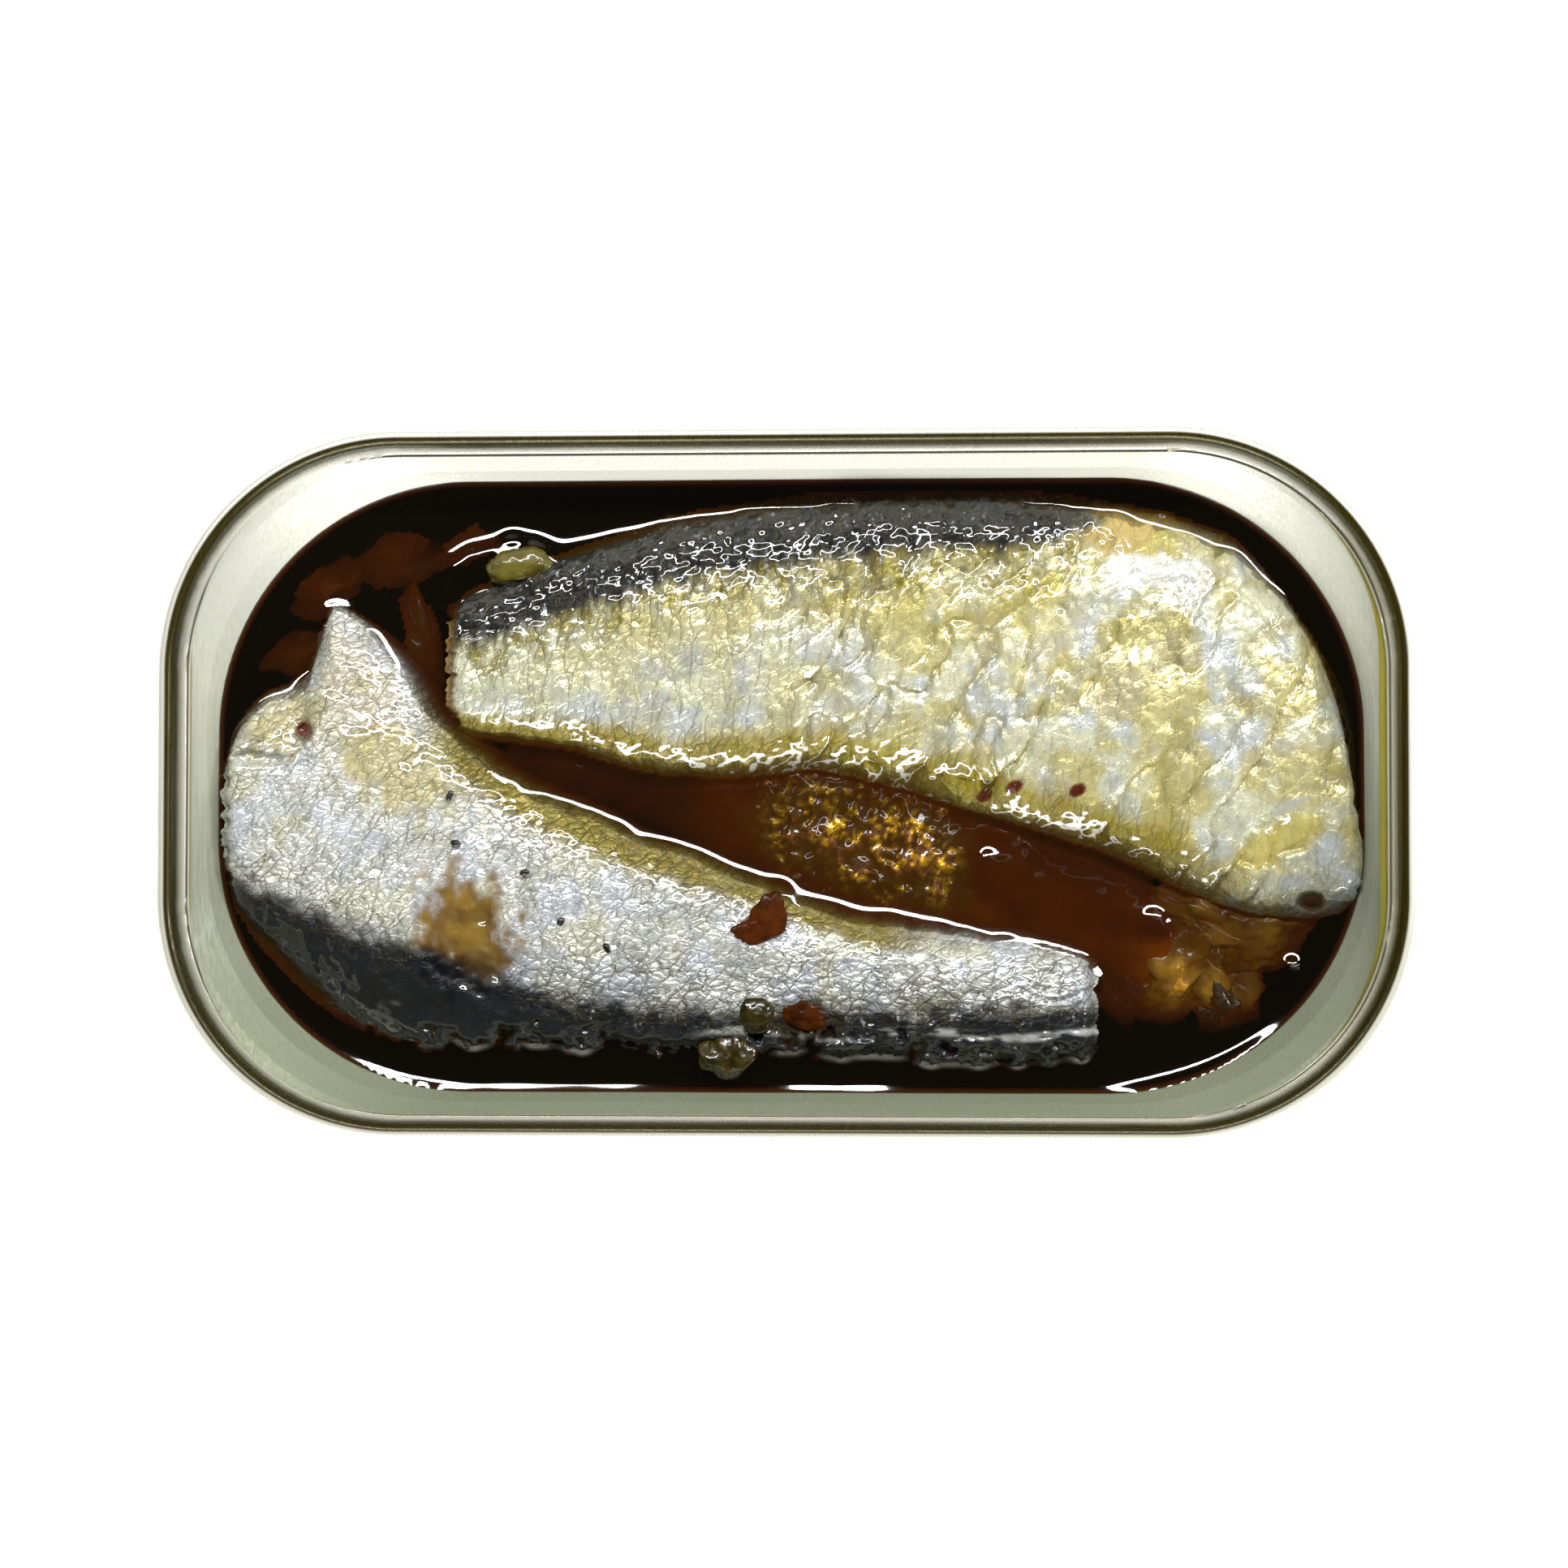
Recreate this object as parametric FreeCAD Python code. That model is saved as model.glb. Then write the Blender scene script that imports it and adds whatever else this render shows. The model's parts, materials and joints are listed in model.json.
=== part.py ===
"""An opened club-size sardine tin: the drawn body, the torn-open lid's ring, the oil and two sardines.

Millimetres, +Z up. The origin is the middle of the tin's foot, +X runs along its length.
"""

import FreeCAD, Part  # noqa: E401, I001  FreeCAD has to come first

import math
import os

V = FreeCAD.Vector

# --- the tin, over its seam ---------------------------------------------------------------
LENGTH = 106.0
WIDTH = 60.0
HEIGHT = 25.0
CORNER = 20.5  # plan radius of the seam's outside
SHEET = 0.3  # body and lid stock

# --- the double seam and the ring left of the lid ------------------------------------------
SEAM_HEIGHT = 2.9
SEAM_WIDTH = 1.35
SEAM_FIT = 0.03  # play each side of the body's wall inside the seam
SEAM_ROOF = 0.7  # from the seam's top down to the end of the body's wall
GROOVE_WIDTH = 0.6  # countersink, between the chuck wall and the lip
GROOVE_DEPTH = 3.35  # from the seam's top to the groove's floor
CHUCK_LEAN = 0.25  # how far the chuck wall leans in on its way down
LIP_RISE = 0.65  # from the groove's floor up to the lip's top
LIP_REACH = 2.0  # lid panel outside the score, before it is cut along it
SCORE_INSET_LEFT = 2.15  # where the lid tore, from the seam's outside, at the end over -X
SCORE_INSET_RIGHT = 2.8  # at the other end, which kept a wider lip
SCORE_INSET_SIDE = 1.95  # and along the two sides
SCORE_CORNER = 17.5

# --- the drawn body ------------------------------------------------------------------------
BASE_INSET = 4.8  # from the seam's outside in to the wall at the foot
BASE_CORNER = 23.5  # plan radius of the wall at the foot
BASE_ROUND = 2.5  # between wall and floor
NECK = 0.7  # upright stretch of wall under the seam, beside the groove
WALL_CURVE = 4.5  # 1 is a straight taper, more puts the slope near the seam
WALL_STEPS = 8  # bands that make up the wall, finer near the seam
ROUND_STEPS = 5
PANEL_INSET = 6.0  # from the foot's edge to the raised floor panel
PANEL_RISE = 0.8
PANEL_SLOPE = 0.8
PANEL_CORNER = 16.0

# --- the contents --------------------------------------------------------------------------
OIL_DEPTH = 7.5  # from the seam's top down to the oil
FISH_GAP = 0.5  # between a sardine and the tin's wall
FISH_CROWN = 2.4  # how far a sardine's flank stands above the oil
FISH_THICKNESS = 13.5
SECTION_POINTS = 16
SECTION_SQUARE = 0.8  # under 1 fills an ellipse out towards a rounded slab
SECTION_PITCH = 3.0  # along the fish, between the sections that its skin runs through

# Each sardine lies on its side. A station holds the place along X, the two edges of its flank
# across Y, and its thickness there as a share of FISH_THICKNESS.
BACK_SARDINE = (
    (-29.8, 6.0, 16.2, 0.55),
    (-25.0, 5.4, 18.6, 0.66),
    (-17.0, 3.6, 21.1, 0.80),
    (-8.5, 1.6, 22.8, 0.92),
    (2.0, 1.0, 24.2, 1.0),
    (14.0, -1.8, 24.9, 1.0),
    (26.0, -4.6, 24.5, 1.0),
    (35.0, -7.6, 23.4, 0.97),
    (42.5, -10.4, 21.0, 0.92),
    (51.0, -10.6, 15.0, 0.84),
)
FRONT_SARDINE = (
    (-51.0, -9.5, 5.5, 0.74),
    (-44.5, -17.0, 9.0, 0.86),
    (-37.0, -24.0, 9.8, 0.95),
    (-29.5, -26.0, 6.0, 1.0),
    (-21.0, -26.6, 0.9, 1.0),
    (-12.5, -26.8, -4.0, 0.96),
    (-4.0, -26.8, -7.4, 0.9),
    (5.0, -26.6, -11.6, 0.82),
    (16.0, -26.3, -13.5, 0.74),
    (27.6, -25.0, -15.4, 0.64),
)
FLAP_ROOT = (-33.0, 3.0)  # belly flap of the front sardine, in plan
FLAP_TIP = (-40.8, 16.4)
FLAP_WIDTHS = (9.0, 7.6, 5.4, 1.6)  # across it, from root to tip
FLAP_THICKNESSES = (5.0, 4.0, 3.0, 1.2)
FLAP_DROP = 0.9  # from the crown down to the top of the flap's root, and half of it more at each width

# Small pieces that lie on the fish: centre in plan, half lengths along X, Y and Z, and how far
# the centre stands above the oil.
CAPER_BACK = ((-23.4, 19.3), (3.1, 1.8, 1.5), 0.4)
CAPER_FRONT = ((-2.5, -19.6), (1.7, 1.7, 1.1), 1.6)
PEPPER_FRONT = ((-5.0, -23.2), (2.1, 1.8, 0.9), 1.5)
PEPPER_ROUND = 0.7  # on the pepper piece's upright edges

SEAM_FOOT = HEIGHT - SEAM_HEIGHT
NECK_FOOT = SEAM_FOOT - NECK
WALL_INSET = SEAM_WIDTH - 2 * SHEET  # outside of the body's wall within the seam
OIL_LEVEL = HEIGHT - OIL_DEPTH
FISH_TOP = OIL_LEVEL + FISH_CROWN


def outline(inset, radius, z, inset_side=None):
    """A rounded rectangle at height z, that far inside the seam's outside."""
    a = LENGTH / 2 - inset
    b = WIDTH / 2 - (inset if inset_side is None else inset_side)
    diagonal = radius * math.sqrt(0.5)
    edges = []
    for sx, sy in ((1, 1), (-1, 1), (-1, -1), (1, -1)):
        centre = V(sx * (a - radius), sy * (b - radius), z)
        on_end = centre + V(sx * radius, 0, 0)
        on_side = centre + V(0, sy * radius, 0)
        middle = centre + V(sx * diagonal, sy * diagonal, 0)
        first, last = (on_end, on_side) if sx == sy else (on_side, on_end)
        if edges:
            edges.append(Part.LineSegment(edges[-1].EndPoint, first))
        edges.append(Part.Arc(first, middle, last))
    edges.append(Part.LineSegment(edges[-1].EndPoint, edges[0].StartPoint))
    return Part.Wire([e.toShape() for e in edges])


def prism(inset, radius, low, high, inset_side=None):
    """An upright block with an outline's plan."""
    face = Part.Face(outline(inset, radius, low, inset_side))
    return face.extrude(V(0, 0, high - low))


def wall_place(share):
    """Inset, plan radius and height of the body's outside, share of the way down its wall."""
    turned = 1 - (1 - share) ** WALL_CURVE
    top_radius = CORNER - WALL_INSET
    inset = WALL_INSET + (BASE_INSET - WALL_INSET) * turned
    radius = top_radius + (BASE_CORNER - top_radius) * turned
    return inset, radius, NECK_FOOT - (NECK_FOOT - BASE_ROUND) * share


def body_shape(skin, top):
    """The body's filled shape, skin inside its outside, from the floor up to height top."""
    places = [wall_place((step / WALL_STEPS) ** 1.5) for step in range(WALL_STEPS + 1)]
    foot_inset, foot_radius, foot_z = places[-1]
    for step in range(1, ROUND_STEPS + 1):
        a = math.radians(90 * step / ROUND_STEPS)
        turn_in = BASE_ROUND * (1 - math.cos(a))
        places.append((foot_inset + turn_in, foot_radius - turn_in, foot_z - BASE_ROUND * math.sin(a)))
    wires = [outline(i + skin, r - skin, z + skin * (z < foot_z)) for i, r, z in reversed(places)]
    lower = Part.makeLoft(wires, True, True)
    upper = prism(WALL_INSET + skin, CORNER - WALL_INSET - skin, NECK_FOOT, top)
    return lower.fuse(upper).removeSplitter()


def floor_panel(skin):
    """The raised middle of the floor, as the block under it."""
    inset = BASE_INSET + PANEL_INSET
    wires = [
        outline(inset - skin, PANEL_CORNER + skin, -SHEET),
        outline(inset - skin, PANEL_CORNER + skin, 0.0),
        outline(inset + PANEL_SLOPE - skin, PANEL_CORNER - PANEL_SLOPE + skin, PANEL_RISE + skin),
    ]
    return Part.makeLoft(wires, True, True)


def cavity(top, skin=SHEET):
    """The space inside the body, up to height top."""
    return body_shape(skin, top).cut(floor_panel(SHEET))


def tin_body():
    wall_top = HEIGHT - SEAM_ROOF
    outside = body_shape(0.0, wall_top).cut(floor_panel(0.0))
    return outside.cut(cavity(wall_top + SHEET))


def lid_profile():
    """Section of the seam, chuck wall, groove and lip: distance in from the outside, and height."""
    slot_in, slot_out = SEAM_WIDTH - SHEET + SEAM_FIT, WALL_INSET - SEAM_FIT
    slot_top = HEIGHT - SEAM_ROOF
    round_r = SEAM_WIDTH / 2
    shoulder = HEIGHT - round_r
    groove = HEIGHT - GROOVE_DEPTH
    groove_r = GROOVE_WIDTH / 2
    chuck_foot = SEAM_WIDTH + CHUCK_LEAN
    groove_mid = chuck_foot + groove_r
    lip_in = groove_mid + LIP_REACH
    lip_top = groove + LIP_RISE
    lip_out = chuck_foot + GROOVE_WIDTH

    def at(u, z):
        return V(u, 0, z)

    def line(p, q):
        return Part.LineSegment(p, q).toShape()

    def arc(p, q, r):
        return Part.Arc(p, q, r).toShape()

    under_r = groove_r + SHEET
    corners = {
        "foot_out": at(0, SEAM_FOOT),
        "shoulder_out": at(0, shoulder),
        "shoulder_in": at(SEAM_WIDTH, shoulder),
        "groove_out": at(chuck_foot, groove + groove_r),
        "groove_in": at(lip_out, groove + groove_r),
        "lip_bend": at(lip_out + SHEET / 2, lip_top),
        "lip_end": at(lip_in, lip_top),
        "lip_end_under": at(lip_in, lip_top - SHEET),
        "lip_bend_under": at(lip_out + SHEET * 1.2, lip_top - SHEET),
        "groove_in_under": at(lip_out + SHEET, groove + groove_r),
        "groove_out_under": at(chuck_foot - SHEET, groove + groove_r),
        "slot_foot_in": at(slot_in, SEAM_FOOT + SHEET),
        "slot_top_in": at(slot_in, slot_top),
        "slot_top_out": at(slot_out, slot_top),
        "slot_foot_out": at(slot_out, SEAM_FOOT),
    }
    c = corners
    return Part.Wire(
        [
            line(c["foot_out"], c["shoulder_out"]),
            arc(c["shoulder_out"], at(round_r, HEIGHT), c["shoulder_in"]),
            line(c["shoulder_in"], c["groove_out"]),
            arc(c["groove_out"], at(groove_mid, groove), c["groove_in"]),
            line(c["groove_in"], c["lip_bend"]),
            line(c["lip_bend"], c["lip_end"]),
            line(c["lip_end"], c["lip_end_under"]),
            line(c["lip_end_under"], c["lip_bend_under"]),
            line(c["lip_bend_under"], c["groove_in_under"]),
            arc(c["groove_in_under"], at(groove_mid, groove + groove_r - under_r), c["groove_out_under"]),
            line(c["groove_out_under"], c["slot_foot_in"]),
            line(c["slot_foot_in"], c["slot_top_in"]),
            line(c["slot_top_in"], c["slot_top_out"]),
            line(c["slot_top_out"], c["slot_foot_out"]),
            line(c["slot_foot_out"], c["foot_out"]),
        ]
    )


def lid_ring():
    """The lid's profile run round the tin in four straights and four quarter turns, then torn out."""
    profile = Part.Face(lid_profile())
    a, b = LENGTH / 2, WIDTH / 2
    pieces = []
    for turn, reach, run in ((0, a, WIDTH), (90, b, LENGTH), (180, a, WIDTH), (270, b, LENGTH)):
        face = profile.copy()
        face.rotate(V(0, 0, 0), V(0, 0, 1), 180)
        face.translate(V(reach, -(run / 2 - CORNER), 0))
        side = face.extrude(V(0, run - 2 * CORNER, 0))
        bend = face.copy()
        bend.translate(V(0, run - 2 * CORNER, 0))
        pivot = V(reach - CORNER, run / 2 - CORNER, 0)
        bend = bend.revolve(pivot, V(0, 0, 1), 90)
        for piece in (side, bend):
            piece.rotate(V(0, 0, 0), V(0, 0, 1), turn)
            pieces.append(piece)
    ring = pieces[0].fuse(pieces[1:]).removeSplitter()
    inset_end = (SCORE_INSET_LEFT + SCORE_INSET_RIGHT) / 2
    torn_out = prism(inset_end, SCORE_CORNER, 0, HEIGHT + SEAM_WIDTH, SCORE_INSET_SIDE)
    torn_out.translate(V((SCORE_INSET_LEFT - SCORE_INSET_RIGHT) / 2, 0, 0))
    return ring.cut(torn_out)


def ring_curve(place):
    """A closed smooth curve through the points that place gives for evenly spaced turns."""
    points = [place(2 * math.pi * i / SECTION_POINTS) for i in range(SECTION_POINTS)]
    turns = [i / SECTION_POINTS for i in range(SECTION_POINTS + 1)]
    curve = Part.BSplineCurve()
    curve.interpolate(Points=points, PeriodicFlag=True, Parameters=turns)
    return Part.Wire(curve.toShape())


def squared(value):
    return math.copysign(abs(value) ** SECTION_SQUARE, value)


def fish_section(x, low, high, share):
    """One slice across a sardine: a rounded slab whose top lies FISH_CROWN above the oil at most."""
    thickness = FISH_THICKNESS * share
    top = FISH_TOP - (1 - share) * FISH_CROWN
    middle, half = (low + high) / 2, (high - low) / 2

    def place(a):
        return V(x, middle + half * squared(math.cos(a)), top - thickness / 2 * (1 - squared(math.sin(a))))

    return ring_curve(place)


def between(before, start, end, after, t):
    """Catmull-Rom blend of four stations, t of the way from start to end."""
    return [
        q + t / 2 * (r - p + t * (2 * p - 5 * q + 4 * r - s + t * (3 * (q - r) + s - p)))
        for p, q, r, s in zip(before, start, end, after)
    ]


def fish(stations):
    """A sardine lofted through its stations and kept FISH_GAP inside the tin."""
    last = len(stations) - 1
    slices = []
    for i in range(last):
        around = [stations[min(max(i + k, 0), last)] for k in (-1, 0, 1, 2)]
        count = max(1, round((around[2][0] - around[1][0]) / SECTION_PITCH))
        slices += [between(*around, k / count) for k in range(count)]
    slices.append(stations[last])
    body = Part.makeLoft([fish_section(*s) for s in slices], True, False)
    return body.common(cavity(HEIGHT, SHEET + FISH_GAP))


def belly_flap():
    """A blade that narrows from its root in the fish to its tip."""
    root, tip = V(*FLAP_ROOT, 0), V(*FLAP_TIP, 0)
    along = (tip - root).normalize()
    across = V(-along.y, along.x, 0)
    wires = []
    for i, (width, thick) in enumerate(zip(FLAP_WIDTHS, FLAP_THICKNESSES)):
        place = root + (tip - root) * (i / (len(FLAP_WIDTHS) - 1))
        centre = V(place.x, place.y, FISH_TOP - FLAP_DROP * (1 + i / 2) - thick / 2)

        def around(a, centre=centre, width=width, thick=thick):
            return centre + across * (width / 2 * math.cos(a)) + V(0, 0, thick / 2 * math.sin(a))

        wires.append(ring_curve(around))
    return Part.makeLoft(wires, True, False)


def caper(centre, halves, above_oil):
    """A plump ellipsoid."""
    ball = Part.makeSphere(1.0)
    scale = FreeCAD.Matrix()
    scale.scale(*halves)
    ball = ball.transformGeometry(scale)
    ball.translate(V(*centre, OIL_LEVEL + above_oil))
    return ball


def pepper_piece(centre, halves, above_oil):
    """A flat block with rounded corners."""
    corner = V(centre[0] - halves[0], centre[1] - halves[1], OIL_LEVEL + above_oil - halves[2])
    block = Part.makeBox(*(2 * h for h in halves), corner)
    upright = [e for e in block.Edges if abs(e.tangentAt(e.FirstParameter).z) > 0.5]
    return block.makeFillet(PEPPER_ROUND, upright)


def without(shape, others):
    for other in others:
        shape = shape.cut(other)
    return shape


def oil(contents):
    """Oil up to its level, round what stands out of it."""
    above = prism(-SHEET, CORNER + SHEET, OIL_LEVEL, 2 * HEIGHT)
    return without(cavity(HEIGHT).cut(above), contents)


def write(name, shape):
    solids = shape.Solids
    print(f"{name}: {len(solids)} solid, {shape.Volume / 1000:.2f} ml, valid {shape.isValid()}")
    Part.makeCompound(solids).exportStep(os.path.join("parts", name + ".step"))


def main():
    os.makedirs("parts", exist_ok=True)
    toppings = {
        "caper_back": caper(*CAPER_BACK),
        "caper_front": caper(*CAPER_FRONT),
        "pepper_front": pepper_piece(*PEPPER_FRONT),
    }
    sardines = {
        "sardine_back": without(fish(BACK_SARDINE), toppings.values()),
        "sardine_front": without(fish(FRONT_SARDINE).fuse(belly_flap()), toppings.values()),
    }
    contents = {**toppings, **sardines}
    write("tin_body", tin_body())
    write("lid_ring", lid_ring())
    for name, shape in contents.items():
        write(name, shape)
    write("oil", oil(contents.values()))


main()
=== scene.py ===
"""An opened sardine tin: brushed tin, torn rim, two wet sardines, oil with its menisci, and small bits.

The whole is in metres, in the tin's own frame: +X along the tin, +Z up, the origin under its middle.
"""

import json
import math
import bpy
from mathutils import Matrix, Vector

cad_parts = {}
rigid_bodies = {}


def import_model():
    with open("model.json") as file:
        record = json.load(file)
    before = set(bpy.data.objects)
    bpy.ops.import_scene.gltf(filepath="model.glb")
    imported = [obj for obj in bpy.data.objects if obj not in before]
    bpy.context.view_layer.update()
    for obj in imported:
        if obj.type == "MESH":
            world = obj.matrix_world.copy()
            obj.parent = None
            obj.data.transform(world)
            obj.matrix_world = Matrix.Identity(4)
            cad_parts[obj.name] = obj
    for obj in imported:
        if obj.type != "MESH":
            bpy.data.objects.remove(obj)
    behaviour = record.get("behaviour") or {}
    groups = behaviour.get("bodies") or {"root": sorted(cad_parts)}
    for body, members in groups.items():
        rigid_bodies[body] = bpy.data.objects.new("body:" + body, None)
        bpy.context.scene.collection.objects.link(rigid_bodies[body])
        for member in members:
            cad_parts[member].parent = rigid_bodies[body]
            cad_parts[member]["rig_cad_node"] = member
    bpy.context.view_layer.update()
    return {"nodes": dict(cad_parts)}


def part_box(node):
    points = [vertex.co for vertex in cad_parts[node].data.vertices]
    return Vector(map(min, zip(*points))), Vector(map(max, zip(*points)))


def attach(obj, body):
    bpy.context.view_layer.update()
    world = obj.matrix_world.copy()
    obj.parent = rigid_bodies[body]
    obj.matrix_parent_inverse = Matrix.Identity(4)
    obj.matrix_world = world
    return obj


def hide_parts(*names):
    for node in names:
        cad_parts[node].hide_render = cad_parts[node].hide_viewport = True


bl_info = {
    "name": "Opened sardine tin",
    "version": (1, 0, 0),
    "blender": (4, 5, 0),
    "location": "3D View > Sidebar > Sardine tin",
    "description": "Finishes an opened tin of sardines in oil round its packed model",
    "category": "Object",
}

import bpy
import numpy as np
from bpy.props import FloatProperty, FloatVectorProperty, IntProperty, PointerProperty
from mathutils import Matrix, Vector
from mathutils.bvhtree import BVHTree

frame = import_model()
BODY = "root"
MM = 0.001

TIN_LOW, TIN_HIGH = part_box("lid_ring")
HALF_LENGTH, HALF_WIDTH = TIN_HIGH.x, TIN_HIGH.y
OIL_LOW, OIL_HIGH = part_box("oil")
OIL_LEVEL = OIL_HIGH.z
# Places on the contents are written in millimetres on a tin of this size, and follow the real one.
RIM_RADIUS = 20.5 * MM  # plan radius of the seam's outside
PLAN_HALF = (53.0, 30.0)


def plan(x, y):
    """A place on the contents, from plan millimetres to metres in the tin's frame."""
    return x / PLAN_HALF[0] * HALF_LENGTH, y / PLAN_HALF[1] * HALF_WIDTH


# --- sizes and colours ---


def length(name, description, default, **more):
    return FloatProperty(
        name=name, description=description, default=default, unit="LENGTH", precision=5, **more
    )


def power(name, description, default):
    return FloatProperty(name=name, description=description, default=default, unit="POWER")


def colour(name, description, default):
    return FloatVectorProperty(
        name=name, description=description, default=default, subtype="COLOR", size=3, min=0, max=1
    )


class SardineSizes(bpy.types.PropertyGroup):
    crown: length("Crown", "How far the flanks stand above the oil", 2.3 * MM)
    edge_drop: length("Edge drop", "From the crown down to the shoulder of the flank", 3.0 * MM)
    spread: length("Spread", "How far the shoulders reach past the visible edge", 0.9 * MM)
    skirt: length("Skirt", "From the oil's level down to the underside", 5.0 * MM)
    pitch: length("Pitch", "Spacing of the skin's mesh", 0.21 * MM)
    silver: colour("Silver", "Bright flank", (0.86, 0.87, 0.84))
    cream: colour("Cream", "Warm flank", (0.80, 0.80, 0.58))
    slate: colour("Slate", "Dull patches of the flank", (0.34, 0.37, 0.34))
    gold: colour("Gold", "Yellow tints of the flank", (0.56, 0.45, 0.05))
    olive: colour("Olive", "Oily edge of the belly", (0.30, 0.23, 0.010))
    back: colour("Back", "Dark blue back", (0.004, 0.006, 0.011))
    flesh: colour("Flesh", "Flesh where the skin is torn", (0.58, 0.42, 0.14))
    rust: colour("Rust", "Oil-stained flesh", (0.30, 0.15, 0.01))


class OilSizes(bpy.types.PropertyGroup):
    sink: length("Sink", "How far the open surface lies under its level at the edges", 1.15 * MM)
    climb: length("Climb", "How far oil climbs what stands out of it", 0.35 * MM)
    wall_climb: length("Wall climb", "How far oil climbs the tin's wall", 0.15 * MM)
    reach: length("Reach", "How far out a meniscus fades", 2.1 * MM)
    clear_depth: length("Clear depth", "Depth that hides two thirds of what is under it", 0.7 * MM)
    pitch: length("Pitch", "Spacing of the surface's mesh", 0.27 * MM)
    pool_depth: length("Pool depth", "From the oil's level down to the underside of the pool", 5.5 * MM)
    thin: colour("Thin", "Oil in a thin film", (0.045, 0.024, 0.0008))
    mid: colour("Middle", "Oil a few millimetres deep", (0.045, 0.0095, 0.0005))
    deep: colour("Deep", "Deep oil", (0.0025, 0.0014, 0.0003))


class TinFinish(bpy.types.PropertyGroup):
    metal: colour("Metal", "Bare metal of the seam", (0.95, 0.94, 0.84))
    # The groove colour is the lacquer darkened with painted shade, for the shaded groove and the torn lip's
    # shadow line.
    groove: colour("Groove", "Lacquer down in the rim's groove", (0.042, 0.032, 0.001))
    lacquer: colour("Lacquer", "Gold lacquer on the torn lip", (0.42, 0.36, 0.05))
    wall: colour("Wall", "Inside of the drawn wall", (0.80, 0.81, 0.71))


class StageSettings(bpy.types.PropertyGroup):
    camera_height: length("Camera height", "From the rim up to the camera", 262 * MM)
    camera_x: length("Camera X", "Camera's place along the tin", 19 * MM)
    camera_y: length("Camera Y", "Camera's place across the tin", -8 * MM)
    view_width: length("View width", "Width of the view at the rim", 131.2 * MM)
    aim_x: length("Aim X", "Point looked at, along the tin", 0.35 * MM)
    aim_y: length("Aim Y", "Point looked at, across the tin", -0.12 * MM)
    shift: FloatProperty(name="Shift", description="Lens shift, as a share of the view width", default=0.04)
    key_watts: power("Key watts", "Power of the long light behind the tin", 3.0)
    fill_watts: power("Fill watts", "Power of the low light in front of the tin", 5.0)
    side_watts: power("Side watts", "Power of the light over the tin's right end", 1.1)
    seed: IntProperty(name="Seed", description="Changes every scattered thing", default=7)


# --- repeatable noise ---


def cell_value(ix, iy, seed):
    """A repeatable value from 0 to 1 for each whole-numbered cell."""
    mixed = (ix * 374761393 + iy * 668265263 + (seed + 11) * 974634777) & 0xFFFFFFFF
    mixed = ((mixed ^ (mixed >> 13)) * 1274126177) & 0xFFFFFFFF
    return ((mixed ^ (mixed >> 16)) & 0xFFFF) / 65535.0


def noise(x, y, seed=0):
    """Smooth noise from 0 to 1 with cells one unit wide."""
    ix, iy = np.floor(x).astype(np.int64), np.floor(y).astype(np.int64)
    fx, fy = x - ix, y - iy
    fx, fy = fx * fx * fx * (fx * (fx * 6 - 15) + 10), fy * fy * fy * (fy * (fy * 6 - 15) + 10)
    low = cell_value(ix, iy, seed) * (1 - fx) + cell_value(ix + 1, iy, seed) * fx
    high = cell_value(ix, iy + 1, seed) * (1 - fx) + cell_value(ix + 1, iy + 1, seed) * fx
    return low * (1 - fy) + high * fy


def cloud(x, y, seed=0, octaves=3):
    """Noise with finer noise on it, still from 0 to 1."""
    total, weight, size = 0.0, 0.0, 1.0
    for octave in range(octaves):
        share = 0.5**octave
        total = total + share * noise(x * size + 3.7 * octave, y * size - 9.1 * octave, seed + octave)
        weight += share
        size *= 2.03
    return total / weight


def folds(x, y, seed=0):
    """Sharp-crested ridges, 1 on each crest."""
    return 1 - np.abs(2 * noise(x, y, seed) - 1)


def turned(x, y, degrees):
    a = math.radians(degrees)
    return x * math.cos(a) + y * math.sin(a), y * math.cos(a) - x * math.sin(a)


def step(low, high, value):
    """0 below low, 1 above high and smooth between; low may be the larger."""
    t = np.clip((value - low) / (high - low), 0, 1)
    return t * t * (3 - 2 * t)


def blot(x, y, place, halves, degrees=0.0, soft=0.35, wobble=0.3, seed=0):
    """A patch with an uneven edge: 1 inside, 0 outside."""
    u, v = turned(x - place[0], y - place[1], degrees)
    radius = np.hypot(u / halves[0], v / halves[1])
    radius = radius + wobble * (cloud(x * 0.8, y * 0.8, seed + 31) - 0.5) * 2
    return step(1 + soft, 1 - soft, radius)


def line(points, x):
    """A curve through given points, smoothed a little."""
    xs, ys = zip(*points)
    offsets = (-0.9, -0.45, 0.0, 0.45, 0.9)
    return sum(np.interp(x + d, xs, ys) for d in offsets) / len(offsets)


# --- meshes ---


def deselect():
    if bpy.context.object and bpy.context.object.mode != "OBJECT":
        bpy.ops.object.mode_set(mode="OBJECT")
    bpy.ops.object.select_all(action="DESELECT")


def only(piece):
    deselect()
    piece.select_set(True)
    bpy.context.view_layer.objects.active = piece


def coordinates(piece):
    flat = np.empty(len(piece.data.vertices) * 3)
    piece.data.vertices.foreach_get("co", flat)
    return flat.reshape(-1, 3)


def set_coordinates(piece, places):
    piece.data.vertices.foreach_set("co", np.ascontiguousarray(places, dtype=np.float64).ravel())
    piece.data.update()


def set_tint(piece, name, values):
    """Stores a colour or a number for each vertex."""
    if values.ndim == 1:
        layer = piece.data.attributes.new(name, "FLOAT", "POINT")
        layer.data.foreach_set("value", values.astype(np.float32))
        return
    layer = piece.data.color_attributes.new(name, "FLOAT_COLOR", "POINT")
    full = np.ones((len(values), 4), np.float32)
    full[:, :3] = values
    layer.data.foreach_set("color", full.ravel())


def new_grid(name, columns, rows):
    """A flat grid from -1 to 1 both ways."""
    deselect()
    bpy.ops.mesh.primitive_grid_add(x_subdivisions=columns, y_subdivisions=rows, size=2)
    piece = bpy.context.object
    piece.name = piece.data.name = name
    return piece


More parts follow.
